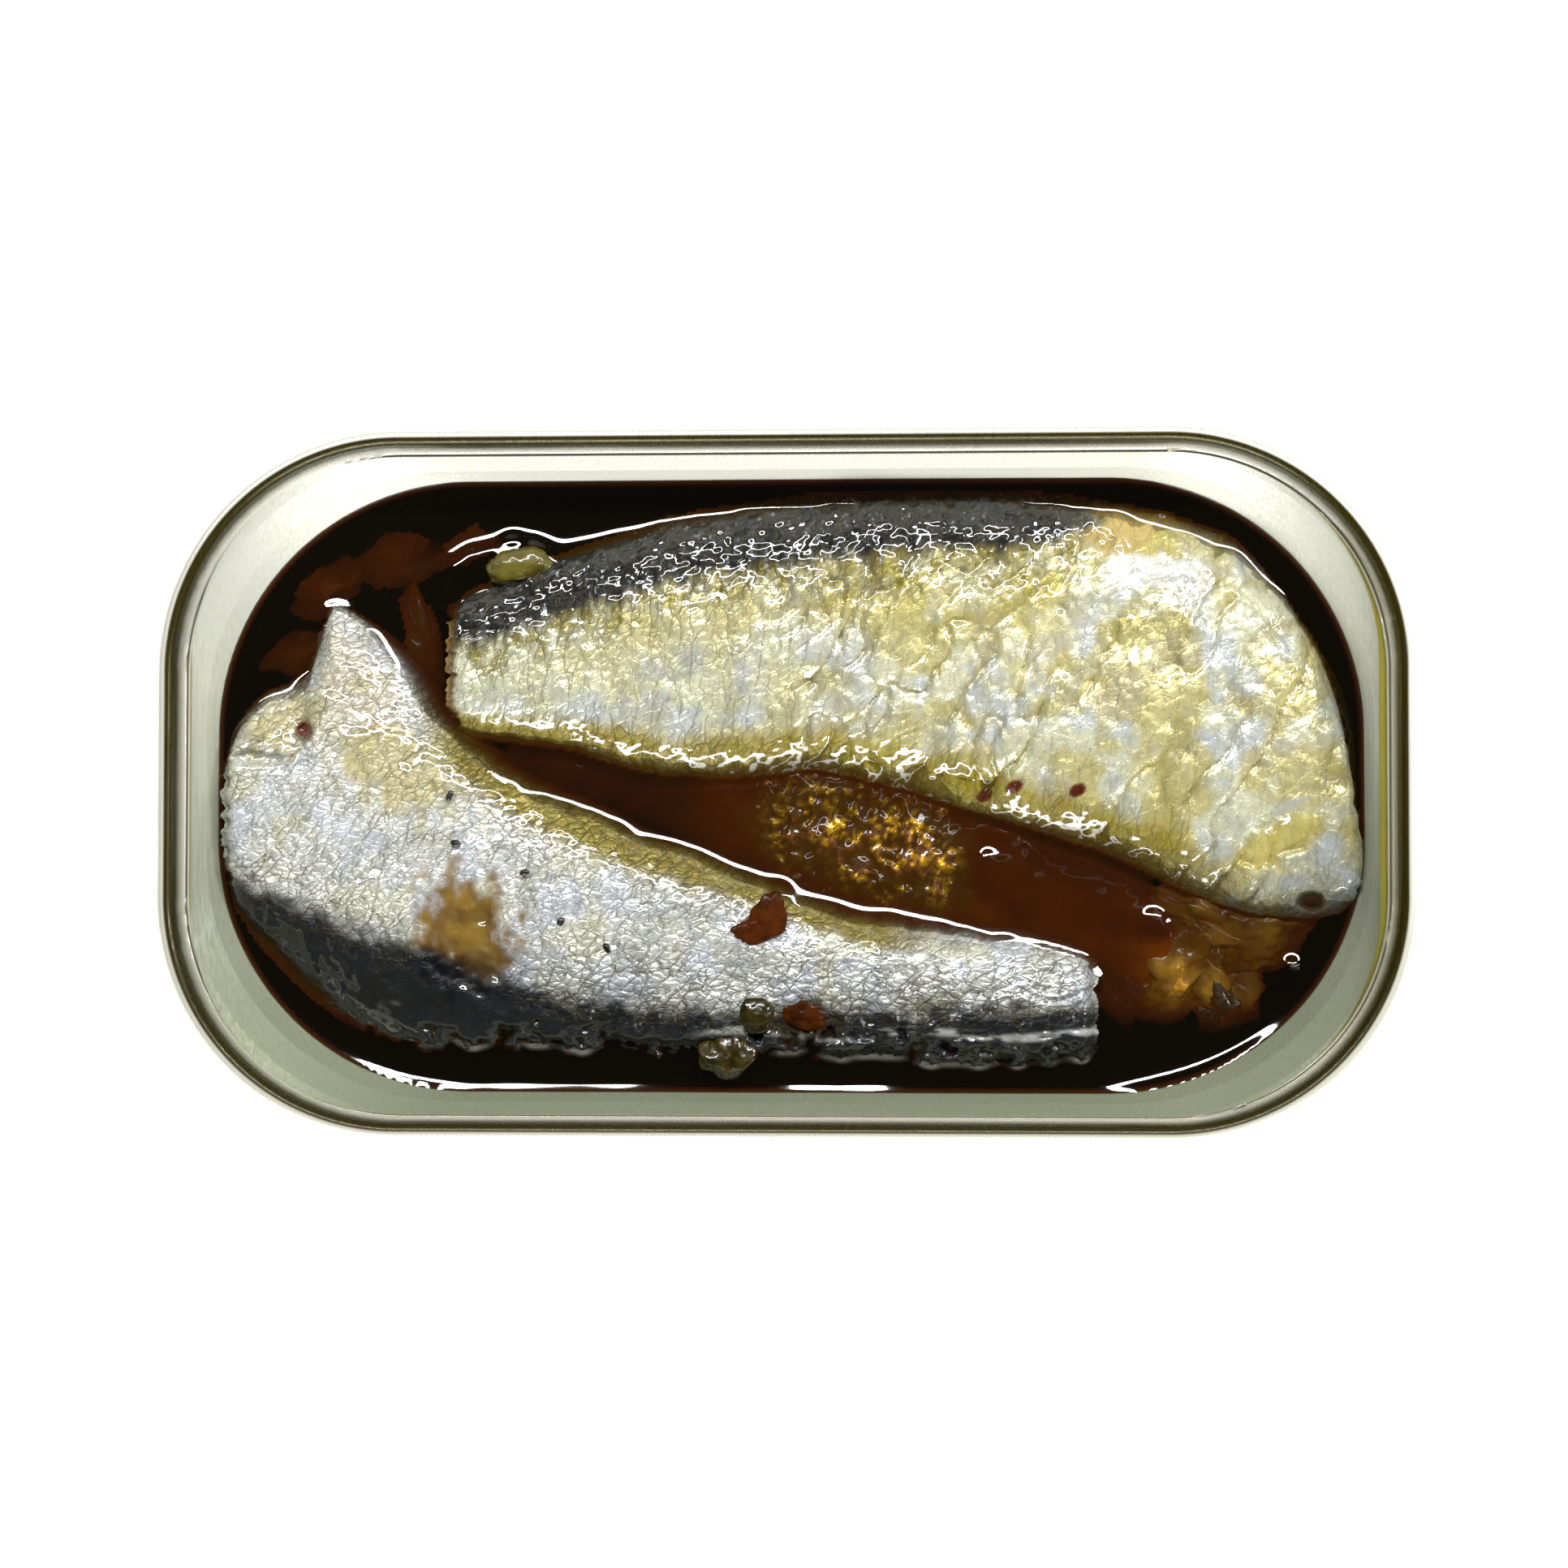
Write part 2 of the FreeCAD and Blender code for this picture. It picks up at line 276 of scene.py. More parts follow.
DRAW_IN = (0.86, 0.80)  # how far a skirt's foot is drawn in along and across, to clear the sloping wall


def close_below(piece, floor):
    """Draws the border of a sheet down to height floor, in from the tin's wall, and closes it there."""
    only(piece)
    bpy.ops.object.mode_set(mode="EDIT")
    bpy.ops.mesh.select_mode(type="EDGE")
    bpy.ops.mesh.select_all(action="SELECT")
    bpy.ops.mesh.region_to_loop()
    bpy.ops.mesh.extrude_edges_move()
    bpy.ops.object.mode_set(mode="OBJECT")
    for vertex in piece.data.vertices:
        if vertex.select:
            vertex.co = (vertex.co.x * DRAW_IN[0], vertex.co.y * DRAW_IN[1], floor)
    bpy.ops.object.mode_set(mode="EDIT")
    bpy.ops.mesh.edge_face_add()
    bpy.ops.object.mode_set(mode="OBJECT")
    bpy.ops.object.shade_smooth_by_angle(angle=math.radians(70))


def finish_piece(piece, material, slot, *nodes):
    piece.data.materials.clear()
    piece.data.materials.append(material)
    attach(piece, BODY)
    if nodes:
        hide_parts(*nodes)


# --- materials ---


class Nodes:
    """A short way to place and join shader nodes in one tree."""

    def __init__(self, tree):
        self.tree = tree
        self.count = 0

    def plug(self, node, inputs):
        """Links every socket that is given, and writes every constant."""
        for key, value in inputs.items():
            if isinstance(value, bpy.types.NodeSocket):
                self.tree.links.new(value, node.inputs[key])
            else:
                node.inputs[key].default_value = value

    def new(self, kind, inputs=None, **settings):
        node = self.tree.nodes.new(kind)
        node.location = (-220 * (self.count // 4), -260 * (self.count % 4))
        self.count += 1
        for key, value in settings.items():
            setattr(node, key, value)
        self.plug(node, inputs or {})
        return node

    def math(self, operation, a, b=0.0):
        return self.new("ShaderNodeMath", {0: a, 1: b}, operation=operation).outputs[0]

    def vector(self, operation, a, b=(0, 0, 0)):
        node = self.new("ShaderNodeVectorMath", {0: a, 1: b}, operation=operation)
        return node.outputs["Value" if operation == "LENGTH" else "Vector"]

    def mix(self, share, a, b, blend="MIX"):
        a, b = (tone if isinstance(tone, bpy.types.NodeSocket) else (*tone, 1.0) for tone in (a, b))
        return self.new("ShaderNodeMix", {0: share, 6: a, 7: b}, data_type="RGBA", blend_type=blend).outputs[2]

    def span(self, value, low, high, to_low=0.0, to_high=1.0):
        inputs = {"Value": value, "From Min": low, "From Max": high, "To Min": to_low, "To Max": to_high}
        return self.new("ShaderNodeMapRange", inputs).outputs["Result"]

    def attribute(self, name, output="Fac"):
        return self.new("ShaderNodeAttribute", attribute_name=name).outputs[output]

    def noise(self, vector, scale, detail=3.0, roughness=0.5, output="Fac"):
        inputs = {"Vector": vector, "Scale": scale, "Detail": detail, "Roughness": roughness}
        return self.new("ShaderNodeTexNoise", inputs).outputs[output]

    def place(self, stretch=(1, 1, 1), degrees=0.0):
        """Object coordinates for a pattern drawn out along a direction in plan."""
        where = self.new("ShaderNodeTexCoord").outputs["Object"]
        inputs = {"Vector": where, "Scale": stretch, "Rotation": (0, 0, math.radians(degrees))}
        return self.new("ShaderNodeMapping", inputs, vector_type="TEXTURE").outputs[0]

    def bump(self, height, strength, distance):
        inputs = {"Height": height, "Strength": strength, "Distance": distance}
        return self.new("ShaderNodeBump", inputs).outputs[0]

    def shared(self, name, inputs, outputs, fill):
        """Adds a node group, made once; its first input is a vector and everything else is a number."""
        group = bpy.data.node_groups.get(name)
        if group is None:
            group = bpy.data.node_groups.new(name, "ShaderNodeTree")
            for key in inputs:
                kind = "NodeSocketVector" if key == "Vector" else "NodeSocketFloat"
                group.interface.new_socket(key, in_out="INPUT", socket_type=kind)
            for key in outputs:
                group.interface.new_socket(key, in_out="OUTPUT", socket_type="NodeSocketFloat")
            nodes = Nodes(group)
            results = fill(nodes, nodes.new("NodeGroupInput").outputs)
            nodes.plug(nodes.new("NodeGroupOutput"), dict(zip(outputs, results)))
        node = self.new("ShaderNodeGroup", inputs, node_tree=group)
        return [node.outputs[key] for key in outputs]


def new_material(name):
    material = bpy.data.materials.new(name)
    material.use_nodes = True
    material.node_tree.nodes.clear()
    nodes = Nodes(material.node_tree)
    shader = nodes.new("ShaderNodeBsdfPrincipled")
    nodes.new("ShaderNodeOutputMaterial", {"Surface": shader.outputs[0]})
    return material, nodes, shader


def fill_grain(nodes, start):
    coarse = nodes.noise(start["Vector"], start["Size"], 4.0, 0.6)
    fine = nodes.noise(start["Vector"], nodes.math("MULTIPLY", start["Size"], 3.1), 2.0, 0.5)
    height = nodes.math("ADD", coarse, nodes.math("MULTIPLY", fine, 0.45))
    return height, nodes.span(coarse, 0.38, 0.62)


def grain(nodes, vector, size):
    """Fine grain: noise at a size, with finer noise in it, as a height and a mask."""
    return nodes.shared("fine_grain", {"Vector": vector, "Size": size}, ("Height", "Mask"), fill_grain)


def fill_creases(nodes, start):
    where, size = start["Vector"], start["Size"]
    sway = nodes.noise(where, nodes.math("MULTIPLY", size, 0.8), output="Color")
    centred = nodes.vector("SUBTRACT", sway, (0.5, 0.5, 0.5))
    reach = nodes.math("DIVIDE", 1.7, size)
    swayed = nodes.new("ShaderNodeVectorMath", {0: centred, "Scale": reach}, operation="SCALE").outputs[0]
    cells = nodes.new(
        "ShaderNodeTexVoronoi", {"Vector": nodes.vector("ADD", where, swayed), "Scale": size},
        feature="DISTANCE_TO_EDGE", voronoi_dimensions="2D",
    ).outputs["Distance"]
    sharp = nodes.span(cells, 0.0, start["Width"], 1.0, 0.0)
    breaks = nodes.span(nodes.noise(where, nodes.math("MULTIPLY", size, 0.55), 2.0), 0.36, 0.60, 0.1, 1.0)
    return nodes.math("MULTIPLY", sharp, breaks), nodes.math("SQRT", nodes.span(cells, 0.0, 0.32))


def creases(nodes, vector, size, width):
    """Puckered skin: a mask that is 1 on thin wandering creases, and the swell of the cells between them."""
    inputs = {"Vector": vector, "Size": size, "Width": width}
    return nodes.shared("crease_lines", inputs, ("Mask", "Swell"), fill_creases)


TONES_SPAN = 5.0  # millimetres in from the seam's outside that a tin's tones cover
# Painted shade: the tin's near side is painted darker and its far side brighter, standing for how its walls
# catch the light.
FRONT_Y, BACK_Y = -20 * MM, 26 * MM  # between these the tin's near side gets its own shade


def tin_material(name, tones, painted_near_shade, rough, metallic):
    """Drawn metal with its rolling grain along Y; tones run in from the seam's outside, in millimetres; painted
    shade darkens the tin's near side and leaves its far side bright.
    """
    material, nodes, shader = new_material(name)
    height, mask = grain(nodes, nodes.place((1.0, 22.0, 1.0)), 4200.0)
    where = nodes.new("ShaderNodeTexCoord").outputs["Object"]
    across = nodes.new("ShaderNodeSeparateXYZ", {0: where}).outputs["Y"]
    core = (TIN_HIGH.x - RIM_RADIUS, TIN_HIGH.y - RIM_RADIUS, 1.0)
    beyond = nodes.vector("SUBTRACT", nodes.vector("ABSOLUTE", where), core)
    out = nodes.vector("LENGTH", nodes.vector("MAXIMUM", beyond))
    inset = nodes.span(out, RIM_RADIUS, RIM_RADIUS - TONES_SPAN * MM)
    ramp = nodes.new("ShaderNodeValToRGB", {0: inset})
    while len(ramp.color_ramp.elements) < len(tones):
        ramp.color_ramp.elements.new(0.5)
    for stop, (place, tone) in zip(ramp.color_ramp.elements, tones):
        stop.position, stop.color = place / TONES_SPAN, (*tone, 1.0)
    # painted light and shade: the base stays bright at the far side and takes the painted near-side shade
    # colour at the front
    base = nodes.mix(nodes.span(across, FRONT_Y, BACK_Y), painted_near_shade, (1, 1, 1))
    base = nodes.mix(1.0, ramp.outputs[0], base, "MULTIPLY")
    shade = nodes.mix(nodes.math("MULTIPLY", mask, 0.35), (1, 1, 1), (0.6, 0.6, 0.5))
    nodes.plug(shader, {
        "Base Color": nodes.mix(1.0, base, shade, "MULTIPLY"),
        "Metallic": metallic,
        "Roughness": nodes.span(mask, 0.0, 1.0, rough, rough + 0.16),
        "Normal": nodes.bump(height, 0.3, 0.00004),
    })
    return material


# Painted shade: the dark colour drawn down each crease of the skin.
CREASE_SHADE = (0.055, 0.042, 0.012)
FLECK_TONE = (0.80, 0.83, 0.86)


def skin_material(name, directions):
    """Wet silver skin: tint, shine, creases and flecks come from the piece, and grain makes it glitter; the
    creases are drawn as dark lines of painted shade.
    """
    material, nodes, shader = new_material(name)
    tint = nodes.attribute("tint", "Color")
    silver, creased, flecked = (nodes.attribute(layer) for layer in ("silver", "creased", "flecked"))
    height, mask = grain(nodes, nodes.place(), 2300.0)
    lines, swell = 0.0, nodes.math("MULTIPLY", height, 0.42)
    for degrees, stretch, size, width, rise in directions:
        one, puff = creases(nodes, nodes.place((stretch, 1, 1), degrees), size, width)
        lines = nodes.math("MAXIMUM", one, lines)
        swell = nodes.math("ADD", swell, nodes.math("MULTIPLY", nodes.math("MULTIPLY", puff, creased), rise))
    lines = nodes.math("MULTIPLY", lines, creased)
    dots = nodes.span(nodes.noise(nodes.place((1.6, 1, 1), 80), 1500.0, 6.0, 0.72), 0.58, 0.66)
    dots = nodes.math("MULTIPLY", dots, flecked)
    broad = nodes.noise(nodes.place((1.0, 1.5, 1.0)), 620.0, 6.0, 0.7)
    dull = nodes.span(broad, 0.36, 0.66, 0.0, 0.6)
    dull = nodes.math("MULTIPLY", dull, nodes.span(creased, 0.0, 1.0, 0.55, 1.0))
    dulled = nodes.mix(dull, tint, (0.42, 0.42, 0.33), "MULTIPLY")
    # painted shade: the crease lines darken the skin's colour
    lined = nodes.mix(nodes.math("MULTIPLY", lines, 0.74), dulled, CREASE_SHADE)
    nodes.plug(shader, {
        "Base Color": nodes.mix(dots, lined, FLECK_TONE),
        "Metallic": nodes.math("MAXIMUM", silver, nodes.math("MULTIPLY", dots, 0.6)),
        "Roughness": nodes.span(mask, 0.0, 1.0, 0.26, 0.44),
        "Normal": nodes.bump(swell, 1.0, 0.00011),
        "Specular IOR Level": 0.2,
        "Coat Weight": 1.0,
        "Coat Roughness": 0.06,
        "Coat IOR": 1.6,
    })
    return material


def oil_material(sizes):
    """Amber oil: what is under it shows where it is thin, and deep oil is nearly black."""
    material, nodes, shader = new_material("oil")
    depth = nodes.attribute("depth")
    warm = nodes.mix(nodes.span(depth, 0.0, 1.3), sizes.thin, sizes.mid)
    clear = nodes.math("EXPONENT", nodes.math("MULTIPLY", depth, -1.0))
    nodes.plug(shader, {
        "Base Color": nodes.mix(nodes.span(depth, 1.2, 4.0), warm, sizes.deep),
        "Alpha": nodes.span(nodes.math("SUBTRACT", 1.0, clear), 0.0, 1.0, 0.3, 1.0),
        "Roughness": 0.04,
        "IOR": 1.47,
        "Specular IOR Level": 1.0,
    })
    return material


def bit_material(name, base, dark, size=900.0, roughness=0.3, coat=0.8):
    """Oily flesh or topping in two tones."""
    material, nodes, shader = new_material(name)
    height, mask = grain(nodes, nodes.place(), size)
    nodes.plug(shader, {
        "Base Color": nodes.mix(mask, dark, base),
        "Roughness": nodes.span(mask, 0.0, 1.0, roughness, roughness + 0.15),
        "Normal": nodes.bump(height, 0.4, 0.0002),
        "Specular IOR Level": 0.5 * coat,
        "Coat Weight": coat,
        "Coat Roughness": 0.05,
    })
    return material


# --- the sardines ---

# Edges of each visible flank, from its left end to its right: along the tin, across it.
BACK_UPPER = (
    (-29.6, 14.6), (-28, 16), (-24, 17.6), (-18, 19.9), (-10, 22.6), (0, 24.2), (10, 24.7), (20, 24.6),
    (27, 23.8), (33, 22.6), (38.5, 20.6), (42.3, 16.2), (46.2, 10.2), (48.2, 3.2), (49.3, -5), (49.6, -8.6),
)
BACK_LOWER = (
    (-29.6, 6.2), (-28, 5.3), (-19, 4.0), (-12, 1.9), (-4, 1.5), (2, 2.4), (10, 0.6), (16, -1.3),
    (22, -3.2), (28.5, -5.3), (34, -8.1), (40, -10.3), (45, -10.6), (49.6, -9.8),
)
FRONT_UPPER = (
    (-49.2, 2.0), (-48, 4.6), (-45.6, 7.4), (-41.4, 8.9), (-40.9, 10.5), (-40.4, 15.6), (-39.2, 15.3),
    (-37.4, 14.2), (-35, 12), (-32, 8.8), (-28, 3.8), (-25, 1.3), (-22, -0.5), (-16, -3.1), (-13, -5),
    (-7, -6.8), (-1.5, -9), (5, -11.7), (12, -13.2), (20, -13.5), (26.8, -15.4),
)
FRONT_LOWER = (
    (-49.2, -8.5), (-46, -13), (-42, -17.2), (-37, -20.8), (-31, -23.2), (-24, -24.6), (-10, -25.2), (0, -25.2),
    (14, -25.0), (22, -24.5), (26.8, -23.8),
)
# Where the dark back begins.
BACK_SHADE = (
    (-30, 11.8), (-24, 13.4), (-16, 15.9), (-8, 17.9), (2, 19.2), (12, 19.9), (22, 20.2), (27, 22.6), (34, 26),
    (50, 30),
)
FRONT_SHADE = (
    (-50, -7.4), (-46, -8.7), (-42, -10.4), (-38, -12.2), (-31, -14.2), (-24, -16.6), (-18, -18.4),
    (-8, -19.4), (4, -19.4), (14, -19.0), (27, -18.8),
)


def lay_flank(name, upper, lower, sizes):
    """A sheet between two edges, in plan millimetres, with its share along and across."""
    first, last = upper[0][0], upper[-1][0]
    pitch = sizes.pitch / MM
    columns = int((last - first) / pitch)
    widest = max(line(upper, x) - line(lower, x) for x in range(-40, 40))
    rows = int(0.85 * widest / pitch)
    piece = new_grid(name, columns, rows)
    grid = coordinates(piece)
    along, across = (grid[:, 0] + 1) / 2, grid[:, 1]
    # rows stand closer together near the two edges
    across = across * (1.25 - 0.25 * across**2)
    x = first + (last - first) * along
    spread = sizes.spread / MM
    high, low = line(upper, x) + spread, line(lower, x) - spread
    y = (high + low) / 2 + (high - low) / 2 * across
    return piece, x, y, across, np.minimum(along, 1 - along) * (last - first)


def flank_height(x, y, across, end_gap, sizes, seed):
    """The plain dome of a flank over the oil's level, in millimetres."""
    dome = sizes.crown / MM - sizes.edge_drop / MM * np.abs(across) ** 3.6
    dome = dome - 1.6 * (1 - step(0, 1.8, end_gap)) ** 2
    return dome + 0.9 * (cloud(x * 0.09, y * 0.14, seed, 2) - 0.5)


def wrinkles(x, y, degrees, spacing, stretch, seed):
    """Short creases that run one way, bent by slower noise."""
    bend_x = x + 1.6 * (noise(x * 0.35, y * 0.35, seed + 5) - 0.5)
    bend_y = y + 1.6 * (noise(x * 0.35, y * 0.35, seed + 6) - 0.5)
    u, v = turned(bend_x, bend_y, degrees)
    return folds(u / (spacing * stretch), v / spacing, seed)


def back_creases(x, y, seed):
    """The creases between the puffed folds of the back sardine's flank, 1 along each crease."""
    where = step(-14, 4, x)
    upright = wrinkles(x, y, 76, 2.3, 3.0, seed)
    long = wrinkles(x, y, 62, 4.6, 3.4, seed + 7)
    leaning = wrinkles(x, y, 40, 2.2, 2.0, seed + 1)
    swept = wrinkles(x, y, 60, 2.7, 3.6, seed + 11)
    end = step(20, 28, x)
    upright = upright * (1 - end) + swept * end
    leaning = leaning * (0.5 + 0.5 * where - 0.6 * end)
    return upright * (0.35 + 0.65 * where), long * where * (1 - 0.5 * end), leaning


def back_relief(x, y, seed):
    """Puffed folds across the flank, crumpled skin and small scales."""
    dark = step(-1.5, 1.0, y - line(BACK_SHADE, x))
    upright, long, leaning = back_creases(x, y, seed)
    puffs = -0.55 * upright**4 - 0.75 * long**4 - 0.40 * leaning**4
    crumple = wrinkles(x, y, 100, 0.75, 1.6, seed + 2) * 0.10 + wrinkles(x, y, 20, 0.6, 1.4, seed + 3) * 0.10
    lumps = (cloud(x * 1.4, y * 1.4, seed + 4) - 0.5) * (0.26 + 0.3 * dark)
    lumps = lumps + (cloud(x * 0.5, y * 0.3, seed + 8) - 0.5) * 0.7
    return 0.3 + puffs * (1 - 0.6 * dark) + crumple + lumps


def front_relief(x, y, seed):
    """Fine wrinkles that run up to the right, crossed by finer ones, and lines along the dark back."""
    dark = step(1.0, -1.5, y - line(FRONT_SHADE, x))
    main = wrinkles(x, y, 42, 0.7, 3.2, seed) ** 1.5 * 0.11
    second = wrinkles(x, y, -20, 0.8, 2.6, seed + 1) ** 2 * 0.09
    long = wrinkles(x, y, 2, 0.9, 9.0, seed + 3) * 0.22 * step(-10, 8, x)
    lumps = (cloud(x * 1.1, y * 1.1, seed + 4) - 0.5) * 0.24
    slow = (cloud(x * 0.3, y * 0.3, seed + 9) - 0.5) * 0.8
    return (main + second) * (1 - 0.5 * dark) + long + lumps + slow


def blend_colours(base, *layers):
    """Lays (colour, share) pairs over a base colour, one after another."""
    out = np.array(base)
    if out.ndim == 1:
        out = out[None, :]
    for tone, share in layers:
        share = share[:, None]
        out = out * (1 - share) + np.array(tone)[None, :] * share
    return out


# Tones that only one of the flanks has.
BACK_SHEEN = (0.60, 0.66, 0.76)
FRONT_SHEEN = (0.60, 0.66, 0.78)
RED_SPOT = (0.10, 0.015, 0.003)
TORN_DEEP, TORN_PALE, TORN_DARK = (0.17, 0.088, 0.004), (0.40, 0.25, 0.02), (0.05, 0.014, 0.002)
DARK_BLOT, HOLE = (0.035, 0.012, 0.003), (0.12, 0.02, 0.004)


def back_tints(x, y, across, end_gap, sizes, seed):
    over = y - line(BACK_SHADE, x) + 2.4 * (cloud(x * 0.9, y * 0.5, seed + 12) - 0.5)
    fade = step(30, 25, x)
    dark = step(-1.4, 0.8, over) * fade
    low_fleck = step(-5.0, -0.5, over) * fade
    mottle = step(0.42, 0.60, cloud(x * 1.3, y * 0.7, seed + 14)) * low_fleck
    olive = step(0.50, 0.66, cloud(x * 0.9, y * 0.8, seed + 19)) * fade
    olive = olive * step(-5.5, -1.5, over) * step(1.5, -0.5, over)
    dull = step(0.48, 0.75, cloud(x * 0.5, y * 0.5, seed + 15))
    blue = step(0.46, 0.66, cloud(x * 0.35, y * 0.35, seed + 17)) * step(4, -4, over + 6)
    warm = step(0.42, 0.62, cloud(x * 0.24, y * 0.24, seed + 16)) * (0.35 + 0.65 * step(-4, 14, x))
    upright, long, leaning = back_creases(x, y, seed)
    # Painted shade: olive darkening down the creases between the puffed folds.
    valley_shade = step(0.80, 0.97, upright) * 0.8 + step(0.84, 0.98, long) + step(0.84, 0.98, leaning) * 0.6
    valley_shade = np.clip(valley_shade, 0, 1)
    warm_band = step(-8.5, -3.0, over) * step(1.5, -0.5, over) * step(-26, -10, x)
    flesh = blot(x, y, (33.2, 21.2), (7.4, 3.0), -14, 0.25, 0.5, seed) * step(0.2, 0.4, over + 4)
    patch = blot(x, y, (31.5, 18.2), (4.4, 1.5), -8, 0.25, 0.5, seed + 2) * (1 - flesh)
    pits = blot(x, y, (42.5, -4.8), (3.6, 1.9), 30, 0.4, 0.6, seed)
    pits = np.maximum(pits, blot(x, y, (21.5, 11.5), (4.0, 2.6), 50, 0.5, 0.8, seed + 3) * 0.55)
    edge = step(-0.60, -0.80, across + 0.16 * (cloud(x * 0.5, y * 0.2, seed + 23) - 0.5)) * step(42, 32, x)
    end = step(1.3, 0.3, end_gap) * step(0, -20, x)
    spots = sum(blot(x, y, p, (0.8, 0.5), 30, 0.2, 0.2) for p in ((17, -0.9), (19.6, -0.2), (25, -0.5)))
    tint = blend_colours(
        sizes.cream, (sizes.slate, 0.55 * dull), (BACK_SHEEN, 0.6 * blue), (sizes.gold, 0.55 * warm),
        (sizes.olive, 0.5 * valley_shade), (sizes.gold, 0.45 * warm_band * (1 - mottle)), (sizes.slate, 0.6 * mottle),
        (sizes.olive, 0.55 * mottle * low_fleck), (sizes.olive, 0.6 * olive), (sizes.back, 0.97 * dark),
        (sizes.silver, 0.8 * patch), (sizes.flesh, 0.85 * flesh), (sizes.gold, 0.75 * pits),
        (sizes.olive, 0.92 * edge), (sizes.rust, 0.9 * end), (RED_SPOT, np.clip(spots, 0, 1)),
    )
    silver = 0.38 * (1 - 0.85 * dark) * (1 - 0.9 * flesh) * (1 - 0.8 * pits) * (1 - 0.9 * edge)
    silver = silver * (1 - end) * (1 - 0.35 * dull)
    creased = 0.55 - 0.22 * step(-8, 12, x) + 0.3 * low_fleck + 0.3 * edge
    flecked = np.clip(low_fleck * (0.9 - 0.5 * step(0.0, 2.5, over)), 0, 1) * (1 - flesh)
    flecked = flecked * (0.35 + 0.65 * step(0.35, 0.6, cloud(x * 0.4, y * 0.8, seed + 18)))
    return tint, np.clip(silver, 0, 1), np.clip(creased, 0, 1), flecked


def front_tints(x, y, across, _end_gap, sizes, seed):
    under = line(FRONT_SHADE, x) - y + 2.0 * (cloud(x * 0.7, y * 0.9, seed + 12) - 0.5)
    dark = step(-1.4, 1.0, under)
    streak = step(0.55, 0.1, np.abs(y + 21.3 + 0.3 * np.sin(x * 0.4)))
    streak = streak * step(0.35, 0.55, cloud(x * 0.5, y * 2.5, seed + 13)) * step(-9, -4, x)
    dull = step(0.50, 0.78, cloud(x * 0.5, y * 0.7, seed + 14))
    blue = step(0.46, 0.7, cloud(x * 0.4, y * 0.4, seed + 15))
    warm = step(0.52, 0.72, cloud(x * 0.3, y * 0.3, seed + 16))
    yellow = blot(x, y, (-34, 1.4), (6.2, 3.4), -35, 0.5, 0.5, seed) * 0.7
    yellow = np.maximum(yellow, blot(x, y, (-43.5, 5.4), (4.4, 2.6), 20, 0.5, 0.5, seed) * 0.7)
    edge = step(0.56, 0.78, across + 0.12 * (cloud(x * 0.5, y * 0.2, seed + 23) - 0.5))
    edge = edge * step(14, 8, x) * step(-34, -28, x)
    flap = blot(x, y, (-36.8, 8.6), (2.6, 5.4), 30, 0.3, 0.4, seed) * 0.45
    torn = blot(x, y, (-27.4, -12.8), (4.3, 4.9), 20, 0.3, 0.6, seed)
    torn_pale = step(0.45, 0.6, cloud(x * 0.8, y * 0.8, seed + 21)) * step(-15.5, -12.5, y)
    torn_dark = blot(x, y, (-29.4, -16.0), (2.4, 1.5), -20, 0.4, 0.7, seed + 5)
    hole = blot(x, y, (-41.6, 4.8), (0.9, 0.8), 0, 0.2, 0.3)
    # A dark blot round and just below the flake beside the front caper.
    dark_blot = blot(x, y, (1.6, -20.4), (3.0, 1.7), 0, 0.4, 0.6, seed)
    tint = blend_colours(
        sizes.silver, (sizes.slate, 0.45 * dull), (FRONT_SHEEN, 0.55 * blue), (sizes.cream, 0.6 * warm),
        (sizes.gold, 0.85 * yellow), (sizes.flesh, 0.8 * flap), (TORN_DEEP, 0.97 * torn),
        (TORN_PALE, 0.35 * torn * torn_pale), (TORN_DARK, 0.9 * torn_dark), (sizes.olive, 0.92 * edge),
        (sizes.back, 0.98 * dark), (sizes.silver, 0.6 * streak), (DARK_BLOT, 0.9 * dark_blot), (HOLE, hole),
    )
    silver = 0.40 * (1 - 0.8 * dark) * (1 - 0.7 * yellow) * (1 - torn) * (1 - hole)
    silver = silver * (1 - 0.5 * flap) * (1 - 0.35 * dull) * (1 - dark_blot)
    creased = (0.78 + 0.22 * step(-6, 0, under) - 0.2 * blue) * (1 - 0.8 * step(0.5, 2.5, under))
    flecked = step(-4.5, -1.5, under) * step(2.2, 0.2, under) * step(-44, -28, x) * 0.8
    flecked = flecked * (1 - torn) * (1 - dark_blot)
    flecked = flecked * (0.45 + 0.55 * step(0.4, 0.6, cloud(x * 0.4, y * 0.8, seed + 18)))
    return tint, np.clip(silver, 0, 1), np.clip(creased * (1 - torn), 0, 1), flecked


def keep_inside(x, y, z, gap):
    """Moves places in from the tin's wall, which leans out as it rises."""
    a, b, radius = oil_outline()
    dx, dy = np.abs(x) - (a - radius), np.abs(y) - (b - radius)
    out_x, out_y = np.maximum(dx, 0), np.maximum(dy, 0)
    far = np.maximum(np.hypot(out_x, out_y), 1e-9)
    over = z - OIL_LEVEL
    room = gap - 0.4 * np.clip(over, 0, 4 * MM) + 0.7 * np.clip(-over, 0, 3 * MM)
    push = np.maximum(room - wall_gap(x, y, a, b, radius), 0)
    return x - push * out_x / far * np.sign(x), y - push * out_y / far * np.sign(y)


SKIN_LAYERS = ("tint", "silver", "creased", "flecked")
WALL_CLEARANCE = 0.25 * MM  # between a flank and the tin's wall
TOP_CLEARANCE = 0.45 * MM  # how far a flank may stand over its packed fish


